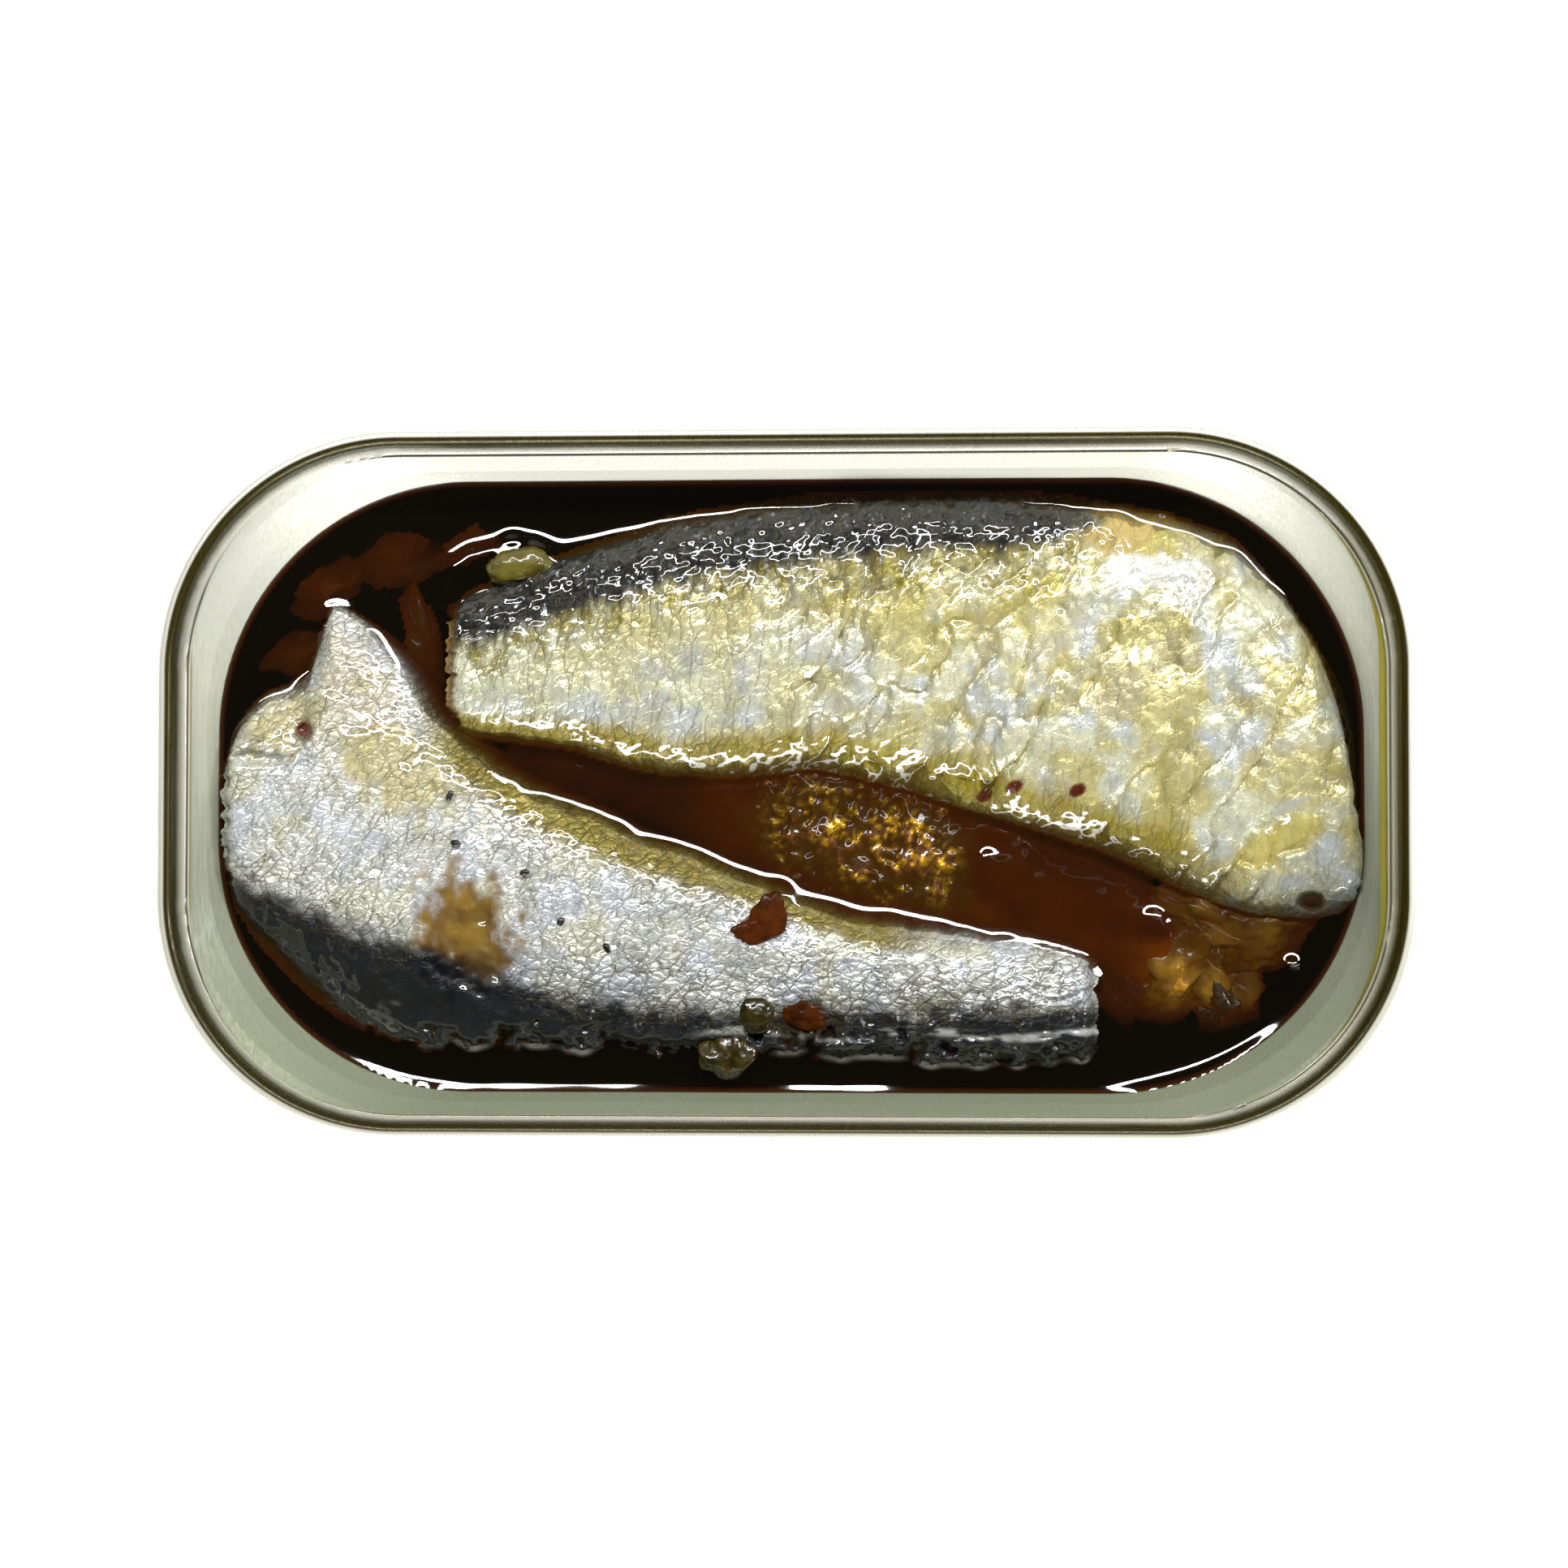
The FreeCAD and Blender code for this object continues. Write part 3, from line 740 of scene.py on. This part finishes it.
def make_sardine(name, node, upper, lower, relief, tints, dents, directions, seed):
    """Lays one flank, raises and wrinkles it, tints it, and closes it below the oil."""
    sizes = bpy.context.scene.sardine_sizes
    piece, x, y, across, end_gap = lay_flank(name, upper, lower, sizes)
    height = flank_height(x, y, across, end_gap, sizes, seed)
    fade = 0.35 + 0.65 * step(1.0, 0.75, np.abs(across))
    height = height + relief(x, y, seed) * fade * 0.8 - 0.25
    for place, halves, degrees, depth in dents:
        height = height - depth * blot(x, y, place, halves, degrees, 0.5, 0.5, seed)
    # ragged ends and edges
    ragged = step(2.5, 0.0, end_gap)
    shift = 1.5 * (cloud(y * 0.55, y * 0.1 + seed, seed + 20) - 0.5)
    shift = shift + 0.7 * (cloud(y * 2.0, seed + y * 0, seed + 21) - 0.5)
    inward = np.where(x < (x.min() + x.max()) / 2, 1, -1)
    waver = 0.35 * step(0.8, 1.0, np.abs(across)) * (cloud(x, y, seed + 22) - 0.5)
    px, py = plan(x + ragged * np.abs(shift) * inward, y + waver)
    pz = np.minimum(OIL_LEVEL + height * MM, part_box(node)[1].z + TOP_CLEARANCE)
    px, py = keep_inside(px, py, pz, WALL_CLEARANCE)
    set_coordinates(piece, np.stack([px, py, pz], axis=1))
    for layer, values in zip(SKIN_LAYERS, tints(x, y, across, end_gap, sizes, seed)):
        set_tint(piece, layer, values)
    close_below(piece, OIL_LEVEL - sizes.skirt)
    finish_piece(piece, skin_material(name + "_skin", directions), "sardine", node)


# Hollows pressed into each flank: place, halves, turn, depth.
BACK_DENTS = (
    ((42.5, -4.8), (3.0, 1.5), 30, 0.6), ((33.2, 21.4), (7.0, 2.6), -14, 0.35), ((45, -10), (0.9, 0.7), 0, 1.2),
)
FRONT_DENTS = (
    ((-27.2, -13.8), (3.2, 3.6), 20, 0.55), ((-41.6, 4.8), (0.9, 0.8), 0, 0.5),
    ((-45.4, 2.4), (2.0, 0.6), 0, 0.8),
    ((-8, -25.8), (38, 3.6), 0, 2.1), ((0.5, -20.2), (3.4, 1.8), 0, 0.4), ((-44, -16), (5, 5), 0, 0.6),
)


# Each set of creases: direction in plan, how drawn out, cells to a metre, width of a line, swell of a cell.
BACK_CREASES = ((80, 2.4, 700.0, 0.075, 1.5), (42, 1.8, 1250.0, 0.10, 0.8))
FRONT_CREASES = ((40, 2.3, 1150.0, 0.15, 1.3), (-8, 1.9, 1500.0, 0.14, 0.8))


class SARDINE_OT_sardines(bpy.types.Operator):
    """Lay the two visible sardines on their sides"""

    bl_idname = "sardine.sardines"
    bl_label = "Lay the sardines"

    def execute(self, context):
        seed = context.scene.stage_settings.seed
        make_sardine("sardine_back_flank", "sardine_back", BACK_UPPER, BACK_LOWER, back_relief, back_tints,
                     BACK_DENTS, BACK_CREASES, seed)
        make_sardine("sardine_front_flank", "sardine_front", FRONT_UPPER, FRONT_LOWER, front_relief,
                     front_tints, FRONT_DENTS, FRONT_CREASES, seed + 40)
        return {"FINISHED"}


# --- what lies sunk in the oil ---


def lump(name, place, halves, degrees, top, roughness, seed, subdivisions=5):
    """A ball pressed into an uneven lump, its top that far above or below the oil."""
    deselect()
    bpy.ops.mesh.primitive_ico_sphere_add(subdivisions=subdivisions, radius=1)
    piece = bpy.context.object
    piece.name = piece.data.name = name
    ball = coordinates(piece)
    u, v = ball[:, 0] * 1.7 + seed, ball[:, 1] * 1.7 + ball[:, 2] * 1.3
    swell = 1 + roughness * (cloud(u, v, seed, 4) - 0.5)
    ball = ball * swell[:, None] * np.array(halves)
    u, v = turned(ball[:, 0], ball[:, 1], -degrees)
    px, py = plan(u + place[0], v + place[1])
    z = OIL_LEVEL + (top - halves[2] + ball[:, 2]) * MM
    px, py = keep_inside(px, py, z, 0.3 * MM)
    set_coordinates(piece, np.stack([px, py, z], axis=1))
    only(piece)
    bpy.ops.object.shade_smooth()
    return piece


THIRD_UPPER = ((-26, 4.5), (-16, 4.2), (-8, 2.6), (0, 2.6), (10, 0.6), (20, -3.5), (30, -8), (35, -12))
THIRD_LOWER = ((-26, 1.0), (-16, -3.0), (-8, -6.5), (0, -9.5), (10, -13.0), (20, -14.6), (30, -17.5), (35, -17))


class SARDINE_OT_sunken(bpy.types.Operator):
    """Lay the third sardine and the bits of flesh that are sunk in the oil"""

    bl_idname = "sardine.sunken"
    bl_label = "Sink the rest"

    def execute(self, context):
        sizes = context.scene.sardine_sizes
        seed = context.scene.stage_settings.seed + 80
        piece, x, y, across, end_gap = lay_flank("sunken_sardine", THIRD_UPPER, THIRD_LOWER, sizes)
        height = -1.75 - 1.6 * np.abs(across) ** 2.4 - 1.6 * (1 - step(0, 3, end_gap)) ** 2
        height = height - 0.7 * step(-4, -12, x) + 0.55 * step(12, 18, x)
        height = height + 0.35 * step(-3, 1, x) * step(17, 13, x)
        scales = step(-4, -1, x) * step(17, 13, x)
        crossed = wrinkles(x, y, 50, 0.8, 1.2, seed) * 0.35 + wrinkles(x, y, -40, 0.8, 1.2, seed + 1) * 0.35
        height = height + scales * crossed
        height = height + 0.7 * (cloud(x * 0.35, y * 0.35, seed + 2) - 0.5)
        px, py = plan(x, y)
        set_coordinates(piece, np.stack([px, py, OIL_LEVEL + height * MM], axis=1))
        glint = scales * step(0.52, 0.64, cloud(x * 1.9, y * 2.6, seed + 3))
        glint = glint * step(0.30, 0.55, cloud(x * 0.4, y * 0.5, seed + 4))
        smooth = step(15, 18, x)
        tint = blend_colours(
            (0.24, 0.07, 0.003), ((0.70, 0.13, 0.006), smooth), ((1.0, 0.55, 0.04), 0.95 * glint),
            ((0.30, 0.08, 0.004), step(-4, -10, x)), ((0.05, 0.02, 0.003), scales * (1 - glint) * 0.6),
        )
        for layer, values in zip(SKIN_LAYERS, (tint, 0.9 * glint, 0.3 * scales, x * 0)):
            set_tint(piece, layer, values)
        close_below(piece, OIL_LEVEL - sizes.skirt)
        finish_piece(piece, skin_material("sunken_skin", BACK_CREASES), "sardine")
        flesh = bit_material("sunken_flesh", (0.85, 0.46, 0.05), (0.26, 0.09, 0.004), 300.0)
        dark = bit_material("sunken_dark", (0.045, 0.026, 0.004), (0.012, 0.007, 0.002))
        bits = (
            ((35.6, -11.4), (5.2, 2.2, 0.9), -18, -1.2, flesh),
            ((33.6, -16.6), (4.8, 2.8, 0.9), 48, -1.25, flesh),
            ((41.2, -12.6), (4.8, 3.1, 0.9), 30, -1.25, flesh),
            ((37.6, -17.4), (2.8, 3.4, 0.8), 40, -1.35, flesh),
            ((37.6, -19.2), (2.2, 2.6, 0.8), 10, -1.1, dark),
            ((28.6, -18.6), (2.0, 3.6, 1.0), 12, -1.4, dark),
            ((-43.0, 11.6), (3.2, 1.7, 0.9), 20, -1.8, flesh),
            ((-34.0, 19.6), (3.6, 2.2, 0.8), 10, -2.4, flesh),
            ((-40.0, 17.6), (3.4, 2.2, 0.9), 40, -2.2, flesh),
            ((-31.5, 12.2), (1.6, 4.4, 1.0), 12, -1.3, dark),
            ((-28.0, 20.6), (3.0, 1.4, 0.8), 25, -1.7, dark),
            ((33.5, -22.4), (3.2, 1.2, 0.6), 8, -1.8, flesh),
        )
        for i, (place, halves, degrees, top, material) in enumerate(bits):
            bit = lump(f"sunken_bit_{i}", place, halves, degrees, top, 1.25, seed + i)
            finish_piece(bit, material, "sardine")
        return {"FINISHED"}


# --- toppings ---


class SARDINE_OT_toppings(bpy.types.Operator):
    """Set the capers, the pepper piece and the small flakes"""

    bl_idname = "sardine.toppings"
    bl_label = "Set the toppings"

    def execute(self, context):
        seed = context.scene.stage_settings.seed + 120
        olive = bit_material("caper_green", (0.13, 0.11, 0.012), (0.06, 0.045, 0.004), 500.0, 0.2)
        brown = bit_material("pepper_brown", (0.050, 0.036, 0.003), (0.015, 0.010, 0.001), 500.0, 0.2)
        flake = bit_material("flake_red", (0.085, 0.018, 0.001), (0.03, 0.008, 0.001), 500.0, 0.5, 0.1)
        speck = bit_material("speck_black", (0.03, 0.025, 0.02), (0.01, 0.008, 0.006))
        back = lump("caper_back_skin", (-23.2, 19.0), (3.0, 1.75, 1.4), 8, 1.3, 0.35, seed)
        finish_piece(back, olive, "caper", "caper_back")
        front = lump("caper_front_skin", (-2.5, -19.6), (1.75, 1.75, 1.2), 0, 2.5, 0.25, seed + 1)
        finish_piece(front, brown, "caper", "caper_front")
        pepper = lump("pepper_front_skin", (-5.0, -23.2), (2.3, 2.0, 1.0), 10, 1.9, 0.6, seed + 2)
        finish_piece(pepper, brown, "pepper", "pepper_front")
        flakes = (
            ((-1.4, -11.2), (1.5, 2.1, 0.4), -20, 2.40), ((-2.6, -12.5), (2.6, 1.1, 0.35), 14, 2.35),
            ((1.8, -19.6), (2.2, 1.3, 0.4), -20, 1.9),
        )
        for i, (place, halves, degrees, top) in enumerate(flakes):
            bit = lump(f"flake_{i}", place, halves, degrees, top, 0.8, seed + 10 + i)
            finish_piece(bit, flake, "pepper")
        specks = (
            (-22.3, -7.5), (-19.2, -11.7), (-15.2, -14.0), (-28.3, -5.0), (-28.8, -0.9), (6, 22.4),
            (43.3, -15.5),
        )
        for i, place in enumerate(specks):
            bit = lump(f"speck_{i}", place, (0.45, 0.28, 0.22), 60 * i, 2.45, 0.8, seed + 30 + i, 3)
            finish_piece(bit, speck, "pepper")
        return {"FINISHED"}


# --- the oil ---


def seen_from_above(pieces):
    """One tree of faces for everything that the oil lies over."""
    vertices, faces = [], []
    for piece in pieces:
        start = len(vertices)
        vertices += [v.co.copy() for v in piece.data.vertices]
        faces += [[start + i for i in p.vertices] for p in piece.data.polygons if len(p.vertices) < 5]
    return BVHTree.FromPolygons(vertices, faces)


def heights_over_oil(tree, xs, ys, nothing=-6 * MM):
    """Height of the uppermost face over the oil's level at each place, in metres."""
    down = Vector((0, 0, -1))
    out = np.full(len(xs), nothing)
    start = OIL_LEVEL + 20 * MM
    for i, (x, y) in enumerate(zip(xs, ys)):
        hit = tree.ray_cast(Vector((x, y, start)), down)[0]
        if hit is not None:
            out[i] = max(hit.z - OIL_LEVEL, nothing)
    return out


def oil_outline():
    """Half length, half width and corner radius of the oil where it meets the wall."""
    rim = np.array([v.co for v in frame["nodes"]["oil"].data.vertices])
    rim = rim[rim[:, 2] > OIL_LEVEL - 0.01 * MM]
    a, b = np.abs(rim[:, 0]).max(), np.abs(rim[:, 1]).max()
    diagonal = (np.abs(rim[:, 0]) + np.abs(rim[:, 1])).max()
    return a, b, (a + b - diagonal) / (2 - math.sqrt(2))


def fill_outline(grid, a, b, radius):
    """Bends a square grid into a rounded rectangle."""
    x, y = grid[:, 0] * a, grid[:, 1] * b
    dx = np.clip((np.abs(x) - (a - radius)) / radius, 0, 1)
    dy = np.clip((np.abs(y) - (b - radius)) / radius, 0, 1)
    bent_x = dx * np.sqrt(1 - dy**2 / 2)
    bent_y = dy * np.sqrt(1 - dx**2 / 2)
    x = np.where(dx > 0, np.sign(x) * (a - radius + radius * bent_x), x)
    y = np.where(dy > 0, np.sign(y) * (b - radius + radius * bent_y), y)
    return x, y


def wall_gap(x, y, a, b, radius):
    """Distance in from a rounded rectangle's outline."""
    dx, dy = np.abs(x) - (a - radius), np.abs(y) - (b - radius)
    outside = np.hypot(np.maximum(dx, 0), np.maximum(dy, 0))
    return radius - outside - np.minimum(np.maximum(dx, dy), 0)


# Stretches of film held up over what lies just under the surface: place, halves, turn, share of the climb.
FILM_PADS = (
    ((-25.6, 17.4), (5.0, 3.2), 22, 0.85),
    ((22.6, -9.0), (6.4, 2.4), -16, 0.72),
    ((-38.6, 13.5), (1.6, 2.6), 20, 0.5),
    ((31.5, -11.8), (1.0, 0.9), 0, 0.8),
    ((-42.5, 10.8), (2.4, 1.2), 20, 0.5),
)


ROUNDS = 500  # enough for the menisci to come to rest
SMOOTHINGS = 3


def beside(raster):
    """The sum of each inner cell's four neighbours."""
    return raster[:-2, 1:-1] + raster[2:, 1:-1] + raster[1:-1, :-2] + raster[1:-1, 2:]


def oil_surface(top, xs, ys, sizes, outline, seed):
    """Height of the oil's skin: low in the open, drawn up to the wall and to what stands out, on a raster."""
    shape = xs.shape
    reach = sizes.reach / (xs[0, 1] - xs[0, 0])
    x, y = xs / MM, ys / MM
    climb = sizes.climb * (0.4 + 1.2 * cloud(x * 0.16, y * 0.16, seed, 2))
    held = np.where(top > climb, 1.0, np.nan)
    for place, halves, degrees, height in FILM_PADS:
        pad = blot(x.ravel(), y.ravel(), place, halves, degrees, 0.1, 0.25, seed).reshape(shape) > 0.5
        held = np.where(pad & np.isnan(held), height, held)
    free = np.isnan(held)
    rise = np.where(free, 0.0, held)
    pull = 1.0 / (4.0 + 1.0 / reach**2)
    for _ in range(ROUNDS):
        around = rise.copy()
        around[1:-1, 1:-1] = beside(rise) * pull
        rise = np.where(free, around, held)
    for _ in range(SMOOTHINGS):
        rise[1:-1, 1:-1] = (beside(rise) + 4 * rise[1:-1, 1:-1]) / 8
    gap = np.maximum(wall_gap(xs, ys, *outline), 0)
    wavy = 0.85 + 0.3 * noise(x * 0.12, y * 0.12, seed + 3)
    wall = np.exp(-gap / (sizes.reach * wavy))
    shared = 1 - (1 - rise) * (1 - wall)
    soft = wall / np.maximum(wall + rise, 1e-6)
    highest = climb * (1 - soft) + sizes.wall_climb * soft
    return shared * (sizes.sink + highest) - sizes.sink


def sample(raster, xs, ys, x, y):
    """Reads a raster between its cells."""
    cell = xs[0, 1] - xs[0, 0]
    column = np.clip((x - xs[0, 0]) / cell, 0, raster.shape[1] - 1.001)
    row = np.clip((y - ys[0, 0]) / cell, 0, raster.shape[0] - 1.001)
    i, j = column.astype(int), row.astype(int)
    u, v = column - i, row - j
    low = raster[j, i] * (1 - u) + raster[j, i + 1] * u
    high = raster[j + 1, i] * (1 - u) + raster[j + 1, i + 1] * u
    return low * (1 - v) + high * v


MURK = 3.0 * MM  # added depth of the oil along the front, where it is dark


class SARDINE_OT_oil(bpy.types.Operator):
    """Pour the oil round everything, with its menisci"""

    bl_idname = "sardine.oil"
    bl_label = "Pour the oil"

    def execute(self, context):
        sizes = context.scene.oil_sizes
        seed = context.scene.stage_settings.seed + 200
        outline = oil_outline()
        a, b, radius = outline
        cell = 0.3 * MM
        columns, rows = (np.arange(-half - 1 * MM, half + 1 * MM, cell) for half in (a, b))
        xs, ys = np.meshgrid(columns, rows)
        under = [o for o in bpy.data.objects if o.type == "MESH" and o.get("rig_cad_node") is None]
        tree = seen_from_above(under)
        top = heights_over_oil(tree, xs.ravel(), ys.ravel()).reshape(xs.shape)
        skin = oil_surface(top, xs, ys, sizes, outline, seed)
        piece = new_grid("oil_pool", int(2 * a / sizes.pitch), int(2 * b / sizes.pitch))
        x, y = fill_outline(coordinates(piece), a, b, radius)
        z = sample(skin, xs, ys, x, y)
        # the edge follows the wall, which leans out as it rises
        gap = wall_gap(x, y, *outline)
        lean = 0.38 * z * step(1.0 * MM, 0, gap)
        away = np.maximum(np.hypot(x, y), 1e-6)
        px, py = x + x / away * lean, y + y / away * lean
        set_coordinates(piece, np.stack([px, py, OIL_LEVEL + z], axis=1))
        depth = np.maximum(z - heights_over_oil(tree, x, y), 0.0)
        depth = depth + MURK * step(-18 * MM, -22.5 * MM, y) * step(0, 0.25 * MM, depth)
        depth = np.minimum(depth, 6.0 * np.maximum(gap, 0)) / sizes.clear_depth
        set_tint(piece, "depth", depth)
        close_below(piece, OIL_LEVEL - sizes.pool_depth)
        finish_piece(piece, oil_material(sizes), "oil", "oil")
        return {"FINISHED"}


# --- the tin ---


def dress(node, material):
    """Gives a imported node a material."""
    piece = frame["nodes"][node]
    piece.data.materials.clear()
    piece.data.materials.append(material)


class SARDINE_OT_tin(bpy.types.Operator):
    """Finish the tin's body and rim"""

    bl_idname = "sardine.tin"
    bl_label = "Finish the tin"

    def execute(self, context):
        finish = context.scene.tin_finish
        wall, metal, groove, lacquer = finish.wall, finish.metal, finish.groove, finish.lacquer
        body = ((0.0, wall), (5.0, wall))
        # Painted light across the rim: the groove tone is painted shade down the chuck wall and the
        # countersink, and at 1.85 a painted shadow under the torn lip; the metal bands at the seam's top and at
        # 1.62 are bare metal and also painted highlights.
        rim = (
            (0.0, wall), (0.14, metal), (0.62, metal), (0.80, groove), (1.42, groove),
            (1.62, metal), (1.85, groove), (2.0, metal), (2.2, lacquer), (2.9, lacquer),
        )
        # the colour after each tone list is the painted shade of the tin's near side
        dress("tin_body", tin_material("drawn_wall", body, (0.37, 0.40, 0.31), 0.4, 0.25))
        dress("lid_ring", tin_material("lacquered_rim", rim, (0.9, 0.9, 0.85), 0.25, 0.4))
        return {"FINISHED"}


# --- the stage ---


SENSOR = 36.0  # width of the camera's sensor, in millimetres


def facing(place, target):
    """The turn that looks from place to target with its long side along the tin."""
    back = (place - target).normalized()
    right = Vector((0, 1, 0)).cross(back).normalized()
    return Matrix((right, back.cross(right), back)).transposed().to_euler()


def area_light(name, azimuth, zenith, distance, width, height, watts):
    """A softbox that faces the tin. Azimuth 0 is over +X and 90 over +Y; zenith 0 is straight above."""
    deselect()
    a, z = math.radians(azimuth), math.radians(zenith)
    place = Vector((math.sin(z) * math.cos(a), math.sin(z) * math.sin(a), math.cos(z))) * distance
    bpy.ops.object.light_add(type="AREA", location=place)
    lamp = bpy.context.object
    lamp.name = name
    lamp.data.shape = "RECTANGLE"
    lamp.data.size, lamp.data.size_y = width, height
    lamp.data.energy = watts
    lamp.rotation_euler = facing(place, Vector())


class SARDINE_OT_stage(bpy.types.Operator):
    """Set the floor, the lights and the camera"""

    bl_idname = "sardine.stage"
    bl_label = "Set the stage"

    def execute(self, context):
        scene = context.scene
        settings = scene.stage_settings
        deselect()
        bpy.ops.mesh.primitive_plane_add(size=3)
        floor = bpy.context.object
        floor.name = "floor"
        material, nodes, shader = new_material("pale_floor")
        nodes.plug(shader, {
            "Base Color": (0.7, 0.7, 0.7, 1), "Roughness": 0.9, "Specular IOR Level": 0.0,
            "Emission Color": (1, 1, 1, 1), "Emission Strength": 0.75,
        })
        floor.data.materials.append(material)
        area_light("key", 90, 34, 0.5, 0.6, 0.036, settings.key_watts)
        area_light("fill", -92, 72, 0.6, 0.6, 0.12, settings.fill_watts)
        area_light("right", 12, 58, 0.55, 0.10, 0.08, settings.side_watts)
        world = bpy.data.worlds.new("studio")
        world.use_nodes = True
        background = world.node_tree.nodes["Background"].inputs
        background["Color"].default_value = (1.0, 0.93, 0.78, 1)
        background["Strength"].default_value = 0.035
        scene.world = world
        deselect()
        eye = Vector((settings.camera_x, settings.camera_y, TIN_HIGH.z + settings.camera_height))
        aim = Vector((settings.aim_x + settings.shift * settings.view_width, settings.aim_y, TIN_HIGH.z))
        bpy.ops.object.camera_add(location=eye)
        camera = bpy.context.object
        camera.rotation_euler = facing(eye, aim)
        camera.data.sensor_width = SENSOR
        camera.data.lens = SENSOR * (aim - eye).length / settings.view_width
        camera.data.shift_x = -settings.shift
        camera.data.clip_start = 0.01
        scene.camera = camera
        scene.view_settings.view_transform = "Standard"
        return {"FINISHED"}


class SARDINE_PT_panel(bpy.types.Panel):
    """Lists the sizes and the steps"""

    bl_label = "Sardine tin"
    bl_idname = "SARDINE_PT_panel"
    bl_space_type = "VIEW_3D"
    bl_region_type = "UI"
    bl_category = "Sardine tin"

    def draw(self, context):
        for group in ("sardine_sizes", "oil_sizes", "tin_finish", "stage_settings"):
            settings = getattr(context.scene, group)
            for name in settings.bl_rna.properties.keys():
                if name not in {"rna_type", "name"}:
                    self.layout.prop(settings, name)
        for step_name in STEPS:
            self.layout.operator("sardine." + step_name)


STEPS = ("tin", "sardines", "sunken", "toppings", "oil", "stage")
GROUPS = {
    "sardine_sizes": SardineSizes,
    "oil_sizes": OilSizes,
    "tin_finish": TinFinish,
    "stage_settings": StageSettings,
}
CLASSES = (
    *GROUPS.values(), SARDINE_OT_tin, SARDINE_OT_sardines, SARDINE_OT_sunken, SARDINE_OT_toppings,
    SARDINE_OT_oil, SARDINE_OT_stage, SARDINE_PT_panel,
)


def register():
    for item in CLASSES:
        bpy.utils.register_class(item)
    for name, group in GROUPS.items():
        setattr(bpy.types.Scene, name, PointerProperty(type=group))


def unregister():
    for name in GROUPS:
        delattr(bpy.types.Scene, name)
    for item in reversed(CLASSES):
        bpy.utils.unregister_class(item)


def main():
    register()
    for name in STEPS:
        getattr(bpy.ops.sardine, name)()
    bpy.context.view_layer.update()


if __name__ == "__main__":
    main()
